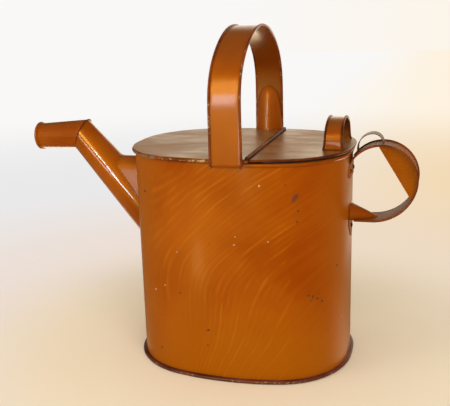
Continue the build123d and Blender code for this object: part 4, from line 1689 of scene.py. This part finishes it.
@dataclass
class RearHandle:
    """Pouring handle: strap with riveted tails, wired edges, boxed grip, thumb strip and brace."""

    shop: Workshop
    wall_x: float = 117.8
    width: float = 35.0
    centre: Pair = (149.9, 205.5)
    radius: float = 35.6
    sweep: Pair = (140.674, 207.3)
    sweep_radius: float = 45.0
    sweep_turn: float = -11.04
    low: float = 162.3
    wire: float = 1.25
    ear_top: float = 222.7
    ear_drop: float = 16.0
    ear_width: float = 13.0
    ear_flare: float = 5.0
    ear_half: float = 23.0
    tail_drop: float = 22.5
    tail_tip: float = 8.0
    grip_turn: float = 31.7
    grip_offset: float = 16.3
    cheek_y: float = 16.9
    hem: float = 0.75
    thumb_width: float = 16.0
    thumb_x: float = 124.2
    thumb_crest: float = 252.8
    thumb_long: float = 16.0
    thumb_short: float = 10.2
    brace: HalfCone = field(default_factory=lambda: HalfCone(15.0, 0.8, 29.5, 8.0, 1.0))

    def route(self) -> Route:
        """Inner face of the strap from the lower wall joint round to the upper one.

        Returns:
            The route.
        """
        x = np.linspace(self.wall_x + 0.2, self.sweep[0], 6)[:-1]
        flat, flat_way = points_of(x, self.low), np.tile([0.0, -1.0], (len(x), 1))
        first = np.radians(np.linspace(-90, self.sweep_turn, 22))[:-1]
        top = np.degrees(acos((self.wall_x - 0.2 - self.centre[0]) / (self.radius + 0.4)))
        second = np.radians(np.linspace(self.sweep_turn, top, 64))
        points, ways = [flat], [flat_way]
        for centre, reach, turn in ((self.sweep, self.sweep_radius, first),
                                    (self.centre, self.radius, second)):
            way = ways_at(turn)
            points.append(np.array(centre) + reach * way)
            ways.append(way)
        return Route.upright(np.vstack(points), np.vstack(ways))

    def on_end(self, outline: Array, height: float) -> Array:
        """Points of an outline (across, up) laid on the end wall at a height over it."""
        x = self.shop.oval.end_at(np.clip(outline[:, 0], -self.ear_half, self.ear_half), height)
        return points_of(x, outline[:, 0], outline[:, 1])

    def build(self) -> None:
        """Makes every piece of the handle."""
        shop = self.shop
        route = self.route()
        skin = Skin()
        route.strap(skin, self.width / 2)
        skin.plate(self.ears(), self.on_end)
        skin.plate(self.tail(), self.on_end)
        settle(skin.make("handle_strap", shop.matt), Body.CAN, Slot.PAINT, "rear_strap")
        for sign, side in ((-1, "near"), (1, "far")):
            path = route.shifted(sign * (self.width / 2 - self.wire + EDGE_LAP), 1.0)
            keep = path[:, 0] > self.wall_x + 0.4
            wire = shop.wire.roll("handle_wire_" + side, [path[keep]], self.wire, shop.trim)
            settle(wire, Body.CAN, Slot.TRIM, "rear_bead_" + side)
        self.grip()
        self.thumb()
        skin = Skin()
        self.brace.add(skin, lambda p: points_of(self.wall_x + p[:, 2], p[:, 0], self.low + p[:, 1]))
        settle(skin.make("handle_brace", shop.plain), Body.CAN, Slot.PAINT, "rear_brace")

    def ears(self) -> Array:
        """Outline of the upper tail: two ears with a slot between them.

        Returns:
            Corners, n by 2.
        """
        half, low = self.width / 2, self.ear_top - self.ear_drop
        corner = self.ear_width / 2.2
        wide = half + self.ear_flare
        slot = half - self.ear_width
        top = low + (2 * self.ear_drop - self.ear_width) / 2 - slot
        return np.vstack([
            [(-half, self.ear_top), (-wide, low + corner)],
            arc((-wide + corner, low + corner), corner, 180, 270, 6)[1:],
            [(-slot, low)], arc((0.0, top), slot, 180, 0, 10), [(slot, low)],
            arc((wide - corner, low + corner), corner, 270, 360, 6)[:-1],
            [(wide, low + corner), (half, self.ear_top)],
        ])

    def tail(self) -> Array:
        """Outline of the pointed lower tail.

        Returns:
            Corners, n by 2.
        """
        half, tip, low = self.width / 2, self.tail_tip / 2, self.low - self.tail_drop
        waist = self.low - self.ear_width / 2
        right = np.array([(tip - 2.0, low), (tip - 0.8, low + 0.3), (tip + 1.2, low + 1.6),
                          (half - 0.6, waist - 1.4), (half, waist), (half, self.low)])
        return np.vstack([right[::-1] * np.array([-1.0, 1.0]), right])

    def grip(self) -> None:
        """Two cheeks and the chord strip that box in the grip."""
        shop = self.shop
        spread = np.degrees(acos(self.grip_offset / self.radius))
        bow = arc(self.centre, self.radius - 0.02, self.grip_turn - spread, self.grip_turn + spread, 40)
        out = np.array([cos(radians(self.grip_turn)), sin(radians(self.grip_turn))])
        bands = np.array([0.0, 0.35, 0.6, 0.75, 0.87, 0.95, 1.0])[:, None]
        sheet = bow[None] - ((1 - bands) * ((bow - bow[0]) @ out)[None])[..., None] * out
        for sign, side in ((-1, "near"), (1, "far")):
            faces = [points_of(sheet[..., 0], sign * y, sheet[..., 1])
                     for y in (self.cheek_y, self.cheek_y - SHEET)]
            skin = Skin()
            # Each cheek is darkened towards its curved edge, where it meets the strap: painted shade.
            skin.shell(*faces, sheet, -bands**3)
            settle(skin.make(side + "_cheek", shop.cheek), Body.CAN, Slot.PAINT, "grip_cheek_" + side)
        shares = np.linspace(0.004, 0.996, 24)[:, None]
        chord = bow[-1] + (bow[0] - bow[-1]) * shares
        route = Route.upright(chord, out)
        skin = Skin()
        route.strap(skin, self.cheek_y - SHEET - 0.02)
        settle(skin.make("chord_strip", shop.matt), Body.CAN, Slot.PAINT, "grip_strip")
        hems = [route.shifted(sign * (self.cheek_y - 0.4), 0.35) for sign in (-1, 1)]
        settle(shop.wire.roll("cheek_hems", hems, self.hem, shop.plain, sides=10), Body.CAN, Slot.PAINT)

    def thumb(self) -> None:
        """Bent strip that the thumb rests on."""
        near, crest = self.thumb_x, self.thumb_crest
        middle = near + self.thumb_long
        far = middle + self.thumb_short
        seat = self.radius + 0.6
        land, far_land = (self.centre[1] + sqrt(seat**2 - (x - self.centre[0]) ** 2) for x in (near, far))
        rise = np.linspace(land, crest - self.thumb_long, 5)[:-1]
        long = np.radians(np.linspace(180, 90, 16))
        short = np.radians(np.linspace(90, 0, 14))[1:]
        drop = np.linspace(crest - self.thumb_short, far_land, 4)[1:]
        bends = [np.array([middle, crest - reach]) + reach * ways_at(turn)
                 for reach, turn in ((self.thumb_long, long), (self.thumb_short, short))]
        points = np.vstack([points_of(near, rise), *bends, points_of(far, drop)])
        ways = np.vstack([np.tile([-1.0, 0.0], (len(rise), 1)), ways_at(long), ways_at(short),
                          np.tile([1.0, 0.0], (len(drop), 1))])
        route = Route.upright(points - ways * SHEET / 2, ways)
        skin = Skin()
        route.strap(skin, self.thumb_width / 2)
        settle(skin.make("thumb_rest", self.shop.rubbed), Body.CAN, Slot.PAINT, "thumb_strip")


@dataclass
class Spout:
    """Spout: tapered tube, nozzle mitred to it, wired mouth and the level socket over its root."""

    shop: Workshop
    elbow: Pair = (-193.6, 245.1)
    elbow_radius: float = 16.67
    cone_angle: float = 131.3
    cone_half: float = 2.96
    nozzle_angle: float = 182.9
    nozzle_half: float = 2.32
    nozzle_length: float = 56.2
    rim_wire: float = 1.75
    rim_back: float = 1.8
    search: Pair = (40.0, 190.0)
    halvings: int = 40
    elbow_seam: float = 0.5
    root_seam: float = 1.1
    stub_seam: float = 0.8
    stub_top: float = 221.4
    stub_radius: float = 15.4
    stub_low: float = 166.0
    stub_flare: float = 21.3

    def way(self, angle: float, sign: float) -> Array:
        """Unit way in the can's upright plane."""
        return sign * np.array([cos(radians(angle)), 0.0, sin(radians(angle))])

    def tube(self, way: Array, half: float, inset: float, turn: Array,
             ends: Callable[[Array, Array], Array], rows: int) -> Array:
        """Surface of a tapered tube from the mitre at the elbow to its far end.

        Args:
            way: Way along the tube from the elbow.
            half: Half angle of the taper in degrees, above 0 where the tube widens.
            inset: Distance inside the outer surface.
            turn: Angles round the tube.
            ends: Gives the far end's distance along the tube for sideways ways and inset radii.
            rows: Points along the tube.

        Returns:
            Points, rows by angles by 3.
        """
        middle = np.array([self.elbow[0], 0.0, self.elbow[1]])
        sideways = ways_round(way, turn)
        reach, slope = self.elbow_radius / cos(radians(half)) - inset, tan(radians(half))
        mitre = self.way((self.cone_angle + self.nozzle_angle) / 2, 1.0)
        start = -reach * (sideways @ mitre) / (way @ mitre + slope * (sideways @ mitre))
        stop = ends(sideways, np.full(len(turn), reach))
        along = start[None, :] + (stop - start)[None, :] * np.linspace(0, 1, rows)[:, None]
        return middle + along[..., None] * way + (reach + slope * along)[..., None] * sideways

    def wall_end(self, way: Array, grow: float) -> Callable[[Array, Array], Array]:
        """Finds where lines along the cone meet the can's wall.

        Args:
            way: Way along the cone.
            grow: Distance outside the wall where the cone stops.

        Returns:
            A function for the tube's far end.
        """
        def find(sideways: Array, reach: Array) -> Array:
            """Distance along the cone at the wall, by halving.

            Args:
                sideways: Ways from the cone's middle line to the lines.
                reach: Their distances from it at the elbow.

            Returns:
                The distances.
            """
            low, high = (np.full(len(reach), along) for along in self.search)
            slope = tan(radians(self.cone_half))
            for _ in range(self.halvings):
                half = (low + high) / 2
                point = half[:, None] * way + (reach + slope * half)[:, None] * sideways
                x = point[:, 0] + self.elbow[0]
                outside = (self.shop.oval.grow_at(x, point[:, 1]) > grow) & (x < 0)
                low, high = np.where(outside, half, low), np.where(outside, high, half)
            return low
        return find

    def build(self) -> None:
        """Makes every piece of the spout."""
        shop = self.shop
        turn = np.linspace(0, 2 * pi, 73)
        cone_way, nozzle_way = self.way(self.cone_angle, -1.0), self.way(self.nozzle_angle, 1.0)
        root = self.wall_end(cone_way, -0.3)

        def mouth(sideways: Array, reach: Array) -> Array:
            """Distance along the nozzle at its square end."""
            return np.full(len(reach), self.nozzle_length - 0.8)

        rims = []
        cone, nozzle = (cone_way, self.cone_half), (nozzle_way, -self.nozzle_half)
        for name, node, finish, (way, half), end, rows, girth, run in (
                ("spout_tube", "spout_cone", shop.gloss, cone, root, 30, (18, 60), 130),
                ("spout_nose", "spout_nozzle", shop.plain, nozzle, mouth, 16, (16, 50), 56)):
            walls = [self.tube(way, half, inset, turn, end, rows) for inset in (0.0, SHEET)]
            flow = points_of((turn * girth[0])[None] - girth[1], np.linspace(0, run, rows)[:, None])
            skin = Skin()
            skin.shell(*walls, flow, 0.0, 1)
            settle(skin.make(name, finish, shop.tin), Body.CAN, Slot.PAINT, node)
            rims.append(walls[0][:, :-1])
        along = self.nozzle_length - self.rim_back
        taper = radians(self.nozzle_half)
        reach = self.elbow_radius / cos(taper) - along * tan(taper) + 0.15
        middle = np.array([self.elbow[0], 0.0, self.elbow[1]]) + nozzle_way * along
        ring = middle + reach * ways_round(nozzle_way, turn)[:-1]
        for name, path, radius, finish, sides, slot, nodes in (
                ("spout_wire", ring, self.rim_wire, shop.plain, 14, Slot.TRIM, ["spout_rim"]),
                ("elbow_seam", rims[1][0], self.elbow_seam, shop.trim, 10, Slot.TRIM, []),
                ("root_seam", rims[0][-1], self.root_seam, shop.plain, 10, Slot.PAINT, [])):
            settle(shop.wire.roll(name, [path], radius, finish, True, sides), Body.CAN, slot, *nodes)
        self.stub(cone_way)

    def stub_line(self, inset: float) -> Array:
        """Section of the socket across the can: arched top and flaring sides.

        Args:
            inset: Distance inside the outer surface.

        Returns:
            Points, n by 2.
        """
        middle = self.stub_top - self.stub_radius
        radius, flare = self.stub_radius - inset, self.stub_flare - inset
        reach = hypot(flare, middle - self.stub_low)
        turn = np.degrees(acos(radius / reach) - atan2(middle - self.stub_low, flare))
        top = arc((0.0, middle), radius, turn, 180 - turn, 30)
        share = np.linspace(0, 1, 12)[:-1, None]
        right = np.array([flare, self.stub_low]) + (top[0] - np.array([flare, self.stub_low])) * share
        left = np.array([-flare, self.stub_low]) + (top[-1] - np.array([-flare, self.stub_low])) * share
        return np.vstack([right, top, left[::-1]])

    def stub(self, way: Array) -> None:
        """Socket between the cone and the wall.

        Args:
            way: Way along the cone.
        """
        slope, reach = tan(radians(self.cone_half)), self.elbow_radius / cos(radians(self.cone_half))
        grids = []
        for inset in (0.0, SHEET):
            line = self.stub_line(inset)
            y, z = line[:, 0], line[:, 1] - self.elbow[1]
            a = 1 - way[0] ** 2 * (1 + slope**2)
            b = -2 * way[0] * (way[2] * z * (1 + slope**2) + reach * slope)
            c = y**2 + z**2 - (way[2] * z) ** 2 * (1 + slope**2) - reach**2 - 2 * reach * slope * way[2] * z
            x = self.elbow[0] + (-b + np.sqrt(np.maximum(b**2 - 4 * a * c, 0))) / (2 * a) - 1.0
            wall = self.shop.oval.end_at(y)
            x = np.minimum(x, -wall - 0.05)
            shares = np.linspace(0, 1, 8)
            along = x[None, :] + (0.3 - wall - x)[None, :] * shares[:, None]
            grids.append(points_of(along, line[:, 0][None], line[:, 1][None]))
        run = run_along(self.stub_line(0.0))
        flow = points_of(run[None] - 60, grids[0][..., 0])
        skin = Skin()
        skin.shell(*grids, flow)
        settle(skin.make("spout_socket", self.shop.plain), Body.CAN, Slot.PAINT, "spout_stub")
        seams = [grids[0][-1], grids[0][0] + np.array([1.0, 0.0, 0.0])]
        wires = self.shop.wire.roll("socket_seams", seams, self.stub_seam, self.shop.plain, sides=10)
        settle(wires, Body.CAN, Slot.PAINT)


@dataclass
class Fittings:
    """Rivets of the handle and the larger chips in the paint."""

    shop: Workshop
    body: CanBody
    rivet_head: float = 2.6
    rivet_dome: float = 1.4
    rivet_edge: float = 0.25
    rivet_sunk: float = 0.3
    rivet_seat: float = 0.75
    rivet_aside: float = 11.0
    upper_rivets: float = 213.5
    lower_rivet: float = 151.5
    chip_lift: float = 0.02
    pale: tuple[Spot, ...] = (
        (38.4, 213.3, 1.0, 1.0), (12.0, 151.9, 0.7, 0.9), (13.3, 160.4, 0.7, 0.6), (46.5, 156.0, 0.8, 0.7),
        (-69.3, 99.0, 0.8, 1.1), (-84.5, 90.6, 0.7, 1.8), (-51.4, 138.8, 0.5, 1.0), (138.9, 59.2, 0.7, 0.9),
    )
    smears: tuple[Spot, ...] = (
        (71.6, 198.0, 2.2, 2.6), (73.6, 200.4, 2.4, 2.8), (75.2, 202.8, 2.0, 2.2),
    )
    dark: tuple[Spot, ...] = (
        (76.6, 187.0, 1.0, 1.0), (75.6, 175.8, 1.0, 0.9), (126.6, 120.8, 1.5, 1.3),
        (-96.1, 197.9, 2.2, 1.1), (-50.1, 93.4, 1.4, 1.0), (-18.9, 56.0, 0.9, 2.6), (-19.5, 38.8, 1.0, 1.0),
        (88.0, 96.0, 1.5, 0.8), (93.0, 94.0, 1.9, 0.9), (98.0, 91.0, 1.5, 0.8), (104.2, 87.0, 1.8, 0.9),
        (91.0, 90.0, 1.1, 0.7), (100.0, 96.0, 0.9, 0.6), (-79.4, 23.8, 1.3, 1.2), (64.0, 214.0, 0.8, 0.7),
    )

    def build(self) -> None:
        """Makes the rivets and the chips."""
        oval = self.shop.oval
        turn = atan2(self.rivet_aside, oval.end_radius)
        seats = ((-turn, self.upper_rivets), (turn, self.upper_rivets), (0.0, self.lower_rivet))
        places, ways = [], []
        for angle, height in seats:
            way = np.array([cos(angle), sin(angle), 0.0])
            places.append(np.array([oval.end_x, 0.0, height]) + way * (oval.end_radius + self.rivet_seat))
            ways.append(way)
        tool = StampTool("set_rivets", 0.0, 3)
        head = self.head()
        sizes = np.ones((3, 3))
        rivets = tool.stamp("handle_rivets", head, np.array(places), np.array(ways), sizes, self.shop.trim)
        bpy.data.objects.remove(head)
        settle(rivets, Body.CAN, Slot.TRIM, "upper_rivets", "lower_rivet")
        flake = self.flake()
        chipper = StampTool("paint_chips", 1.0, 11)
        for name, marks, finish in (("pale_chips", self.pale, self.shop.pale_chip),
                                    ("dark_chips", self.dark, self.shop.dark_chip),
                                    ("smears", self.smears, self.shop.smear)):
            spots = np.array([self.body.on_front(*mark[:2], self.chip_lift) for mark in marks])
            sizes = np.array([(wide, tall, 1.0) for _, _, wide, tall in marks])
            chips = chipper.stamp(name, flake, spots[:, 0], spots[:, 1], sizes, finish)
            settle(chips, Body.CAN, Slot.TIN)
        bpy.data.objects.remove(flake)

    def head(self) -> Piece:
        """Domed rivet head that stands on its origin.

        Returns:
            The shape.
        """
        rise = np.linspace(0, 1, 8)
        reach = self.rivet_head * np.concatenate([[1.0, 1.0], np.sqrt(1 - rise[1:] ** 2)])
        dome = self.rivet_edge + (self.rivet_dome - self.rivet_edge) * rise[1:]
        z = np.concatenate([[-self.rivet_sunk, self.rivet_edge], dome])
        turn = np.linspace(0, 2 * pi, 21)
        grid = points_of(reach[:, None] * np.cos(turn), reach[:, None] * np.sin(turn), z[:, None])
        skin = Skin()
        skin.patch(grid, grid[..., :2], np.linspace(0.2, 1.0, len(z))[:, None])
        skin.cap(grid[0, :-1], grid[0, :-1, :2])
        return skin.make("rivet_head", self.shop.trim)

    def flake(self) -> Piece:
        """Ragged flake, one millimetre in radius, thin as a paint film.

        Returns:
            The shape.
        """
        turn = np.linspace(0, 2 * pi, 15)
        ragged = 1 + 0.22 * np.sin(3 * turn + 0.7) + 0.16 * np.sin(5 * turn) + 0.1 * np.cos(7 * turn)
        rim = np.column_stack([ragged * np.cos(turn), ragged * np.sin(turn)])
        skin = Skin()
        grid = np.stack([np.column_stack([rim * s, np.full(len(rim), h)]) for s, h in
                         ((0.0, -0.02), (1.0, -0.02), (0.93, 0.04), (0.0, 0.05))])
        skin.patch(grid, grid[..., :2])
        return skin.make("chip_flake", self.shop.dark_chip)


# Studio


COOL = (0.80, 0.87, 1.0)
AMBER = (1.0, 0.66, 0.20)


@dataclass
class Lamp:
    """Soft lamp that looks at a point."""

    name: str
    place: Place
    target: Place
    size: Pair
    power: float
    colour: tuple[float, float, float] = (1.0, 0.97, 0.93)
    shine: bool = True
    light: bool = True

    def build(self) -> None:
        """Adds the lamp to the scene."""
        light = bpy.data.lights.new(self.name, "AREA")
        light.shape = "ELLIPSE"
        light.size, light.size_y = self.size
        light.energy = self.power
        light.color = self.colour
        lamp = placed(self.name, light)
        lamp.location = self.place
        way = Vector(self.target) - Vector(self.place)
        lamp.rotation_euler = way.to_track_quat("-Z", "Y").to_euler()
        lamp.visible_camera = False
        lamp.visible_diffuse, lamp.visible_glossy = self.light, self.shine


def card(*values: Any) -> Lamp:
    """Lamp that shows only in the gloss of the paint, with a lamp's first six values."""
    return Lamp(*values, light=False)


@dataclass
class Studio:
    """Pale floor, soft lamps, pale surroundings and the photograph's camera."""

    cool: Colour = srgb(249, 248, 247)
    warm: Colour = srgb(254, 242, 223)
    cool_mid: Colour = srgb(234, 233, 234)
    warm_mid: Colour = srgb(243, 218, 182)
    cool_low: Colour = srgb(236, 221, 210)
    warm_low: Colour = srgb(237, 218, 195)
    floor_colour: Colour = (0.955, 0.81, 0.585, 1.0)
    near_dusk: Colour = (0.24, 0.16, 0.06, 1.0)
    far_dusk: Colour = (0.02, 0.016, 0.010, 1.0)
    mirrored: Colour = (1.0, 0.89, 0.71, 1.0)
    daylight: Colour = (1.0, 0.98, 0.95, 1.0)
    ambient: float = 0.60
    floor_shine: float = 4.4
    floor_radius: float = 6.0
    target: Place = (-0.023735, 0.0, 0.169518)
    azimuth: float = 16.386
    elevation: float = 14.728
    roll: float = -1.648
    distance: float = 0.82526
    lens: float = 58.31
    lamps: tuple[Lamp, ...] = (
        Lamp("key", (0.75, -1.38, 1.18), (0.0, 0.0, 0.13), (1.4, 1.4), 15.5, shine=False),
        Lamp("fill", (-1.3, -1.05, 0.70), (0.0, 0.0, 0.12), (1.0, 1.0), 7.0, shine=False),
        card("low_card", (-0.185, -0.36, 0.014), (-0.026, -0.093, 0.120), (0.06, 0.10), 0.16,
             (1.0, 0.85, 0.45)),
        card("window", (-0.37, -1.28, 0.33), (0.0, -0.098, 0.27), (0.14, 0.10), 1.45, (0.70, 0.82, 1.0)),
        card("pane", (-0.30, -1.20, 0.47), (-0.1, 0.0, 0.25), (0.05, 0.16), 1.2, COOL),
        card("glow", (-0.33, -1.22, 0.86), (0.0, -0.098, 0.30), (0.46, 0.74), 8.0, AMBER),
        card("upper_glow", (-0.36, -1.22, 1.40), (0.0, -0.08, 0.33), (0.46, 0.34), 1.0, AMBER),
        card("loop_card", (-0.066, -1.28, 0.045), (0.1025, -0.034, 0.25), (0.10, 0.09), 0.7, COOL),
        card("stub_card", (-0.65, -1.28, 0.25), (-0.115, -0.016, 0.205), (0.16, 0.20), 0.8, COOL),
    )

    def build(self) -> None:
        """Sets up the whole studio."""
        scene = bpy.context.scene
        scene.view_settings.view_transform = "Standard"
        self.camera(scene)
        self.world(scene)
        self.floor()
        for lamp in self.lamps:
            lamp.build()

    def camera(self, scene: bpy.types.Scene) -> None:
        """Adds the camera at the photograph's viewing angle.

        Args:
            scene: Scene that looks through it.
        """
        data = bpy.data.cameras.new("camera")
        data.sensor_fit, data.sensor_width, data.lens = "HORIZONTAL", 36.0, self.lens
        data.clip_start, data.clip_end = 0.01, 60.0
        az, el, roll = radians(self.azimuth), radians(self.elevation), radians(self.roll)
        back = Vector((sin(az) * cos(el), -cos(az) * cos(el), sin(el)))
        right = (-back).cross(Vector((0, 0, 1))).normalized()
        up = back.cross(right)
        turned_right = cos(roll) * right + sin(roll) * up
        turned_up = cos(roll) * up - sin(roll) * right
        spin = Matrix((turned_right, turned_up, back)).transposed()
        camera = placed("camera", data)
        camera.matrix_world = Matrix.Translation(Vector(self.target) + back * self.distance) @ spin.to_4x4()
        scene.camera = camera

    def world(self, scene: bpy.types.Scene) -> None:
        """Pale room: what the camera sees, what gloss mirrors and what lights the shadows.

        Args:
            scene: Scene that stands in the room.
        """
        scene.world = bpy.data.worlds.new("room")
        scene.world.use_nodes = True
        scene.world.node_tree.nodes.clear()
        pad = NodePad(scene.world.node_tree)
        rays = pad.add("ShaderNodeLightPath")
        way = pad.split(pad.add("ShaderNodeTexCoord")["Generated"])
        room = pad.ramp(way[1], 0.80, 0.95, 0.03, 2.0) * pad.ramp(way[2], 0.15, 0.7, 1.0, 0.4)
        backdrop = pad.mix(pad.ramp(way[0], -0.35, 0.30), self.cool, self.warm)
        seen = pad.add("ShaderNodeBackground", {0: backdrop})
        mirrored = pad.add("ShaderNodeBackground", {0: self.mirrored, 1: room})
        light = pad.add("ShaderNodeBackground", {0: self.daylight, 1: self.ambient})
        shiny = pad.most(rays["Is Glossy Ray"], rays["Is Transmission Ray"])
        last = pad.blend(rays["Is Camera Ray"], pad.blend(shiny, light, mirrored), seen)
        pad.add("ShaderNodeOutputWorld", {0: last})

    def floor(self) -> None:
        """Pale floor that keeps the shadow near the can and melts into the backdrop further out."""
        mesh = bpy.data.meshes.new("floor")
        shell = bmesh.new()
        bmesh.ops.create_circle(shell, cap_ends=True, segments=96, radius=self.floor_radius)
        shell.to_mesh(mesh)
        shell.free()
        material = bpy.data.materials.new("pale_floor")
        material.use_nodes = True
        self.paint_floor(material.node_tree)
        mesh.materials.append(material)
        placed("floor", mesh)

    def paint_floor(self, tree: Tree) -> None:
        """Joins up the floor's nodes.

        Args:
            tree: Tree of the floor's material.
        """
        pad = NodePad(tree)
        shader = tree.nodes["Principled BSDF"]
        place = pad.add("ShaderNodeTexCoord")["Object"]
        paler = tuple(min(1.0, c * 1.05) for c in self.floor_colour[:3]) + (1.0,)
        pad.feed(shader, {"Base Color": pad.mix(pad.noise(place, 6.0, 4.0), self.floor_colour, paler),
                          "Roughness": 0.85, "Specular IOR Level": 0.1})
        rays = pad.add("ShaderNodeLightPath")
        glossy = rays["Is Glossy Ray"]
        seen = pad.most(rays["Is Camera Ray"], pad.most(glossy, rays["Is Transmission Ray"]))
        split = pad.split(place)
        reach = pad.math("SQRT", pad.math("POWER", split[0], 2.0) + pad.math("POWER", split[1], 2.0))
        side = pad.ramp(split[0], -0.4, 0.28)
        low, middle, high = (pad.mix(side, cool, warm) for cool, warm in (
            (self.cool_low, self.warm_low), (self.cool_mid, self.warm_mid), (self.cool, self.warm)))
        far = pad.mix(pad.ramp(reach, 0.9, 2.2), pad.mix(pad.ramp(reach, 0.32, 0.9), low, middle), high)
        glow = pad.add("ShaderNodeEmission", {0: far, 1: 1.0})
        blend = pad.blend(pad.ramp(reach, 0.20, 0.42) * seen, Step(pad, shader), glow)
        # In reflections only, much of the floor is painted dark (painted shade), darkest towards -Y, and at
        # one steep angle it glows at floor_shine times its colour (a painted highlight); the camera sees
        # neither.
        dusk = pad.mix(pad.ramp(split[1], -0.14, -0.40), self.near_dusk, self.far_dusk)
        dim = pad.add("ShaderNodeEmission", {0: dusk, 1: 1.0})
        came = pad.split(pad.add("ShaderNodeNewGeometry")["Incoming"])
        steep = pad.ramp(came[2], 0.40, 0.54) * pad.ramp(came[1], -0.40, -0.55)
        close = pad.ramp(reach, 0.52, 0.28, 0.0, 0.85)
        front = pad.most(pad.ramp(came[1], -0.86, -0.66), close) * pad.math("SUBTRACT", 1.0, steep) * glossy
        painted_glow = pad.add("ShaderNodeEmission", {0: self.floor_colour, 1: self.floor_shine})
        last = pad.blend(front, pad.blend(steep * glossy, blend, painted_glow), dim)
        pad.feed(tree.nodes["Material Output"], {0: last})


def main() -> None:
    """Builds the can, piece by piece, and the studio round it."""
    logging.basicConfig(level=logging.INFO, format="%(name)s: %(message)s")
    shop = Workshop()
    body = CanBody(shop)
    for assembly in (body, CarryHoop(shop), HingedLid(shop, body), RearHandle(shop), Spout(shop),
                     Fittings(shop, body)):
        log.info("building %s", type(assembly).__name__)
        assembly.build()
    Studio().build()


if __name__ == "__main__":
    main()
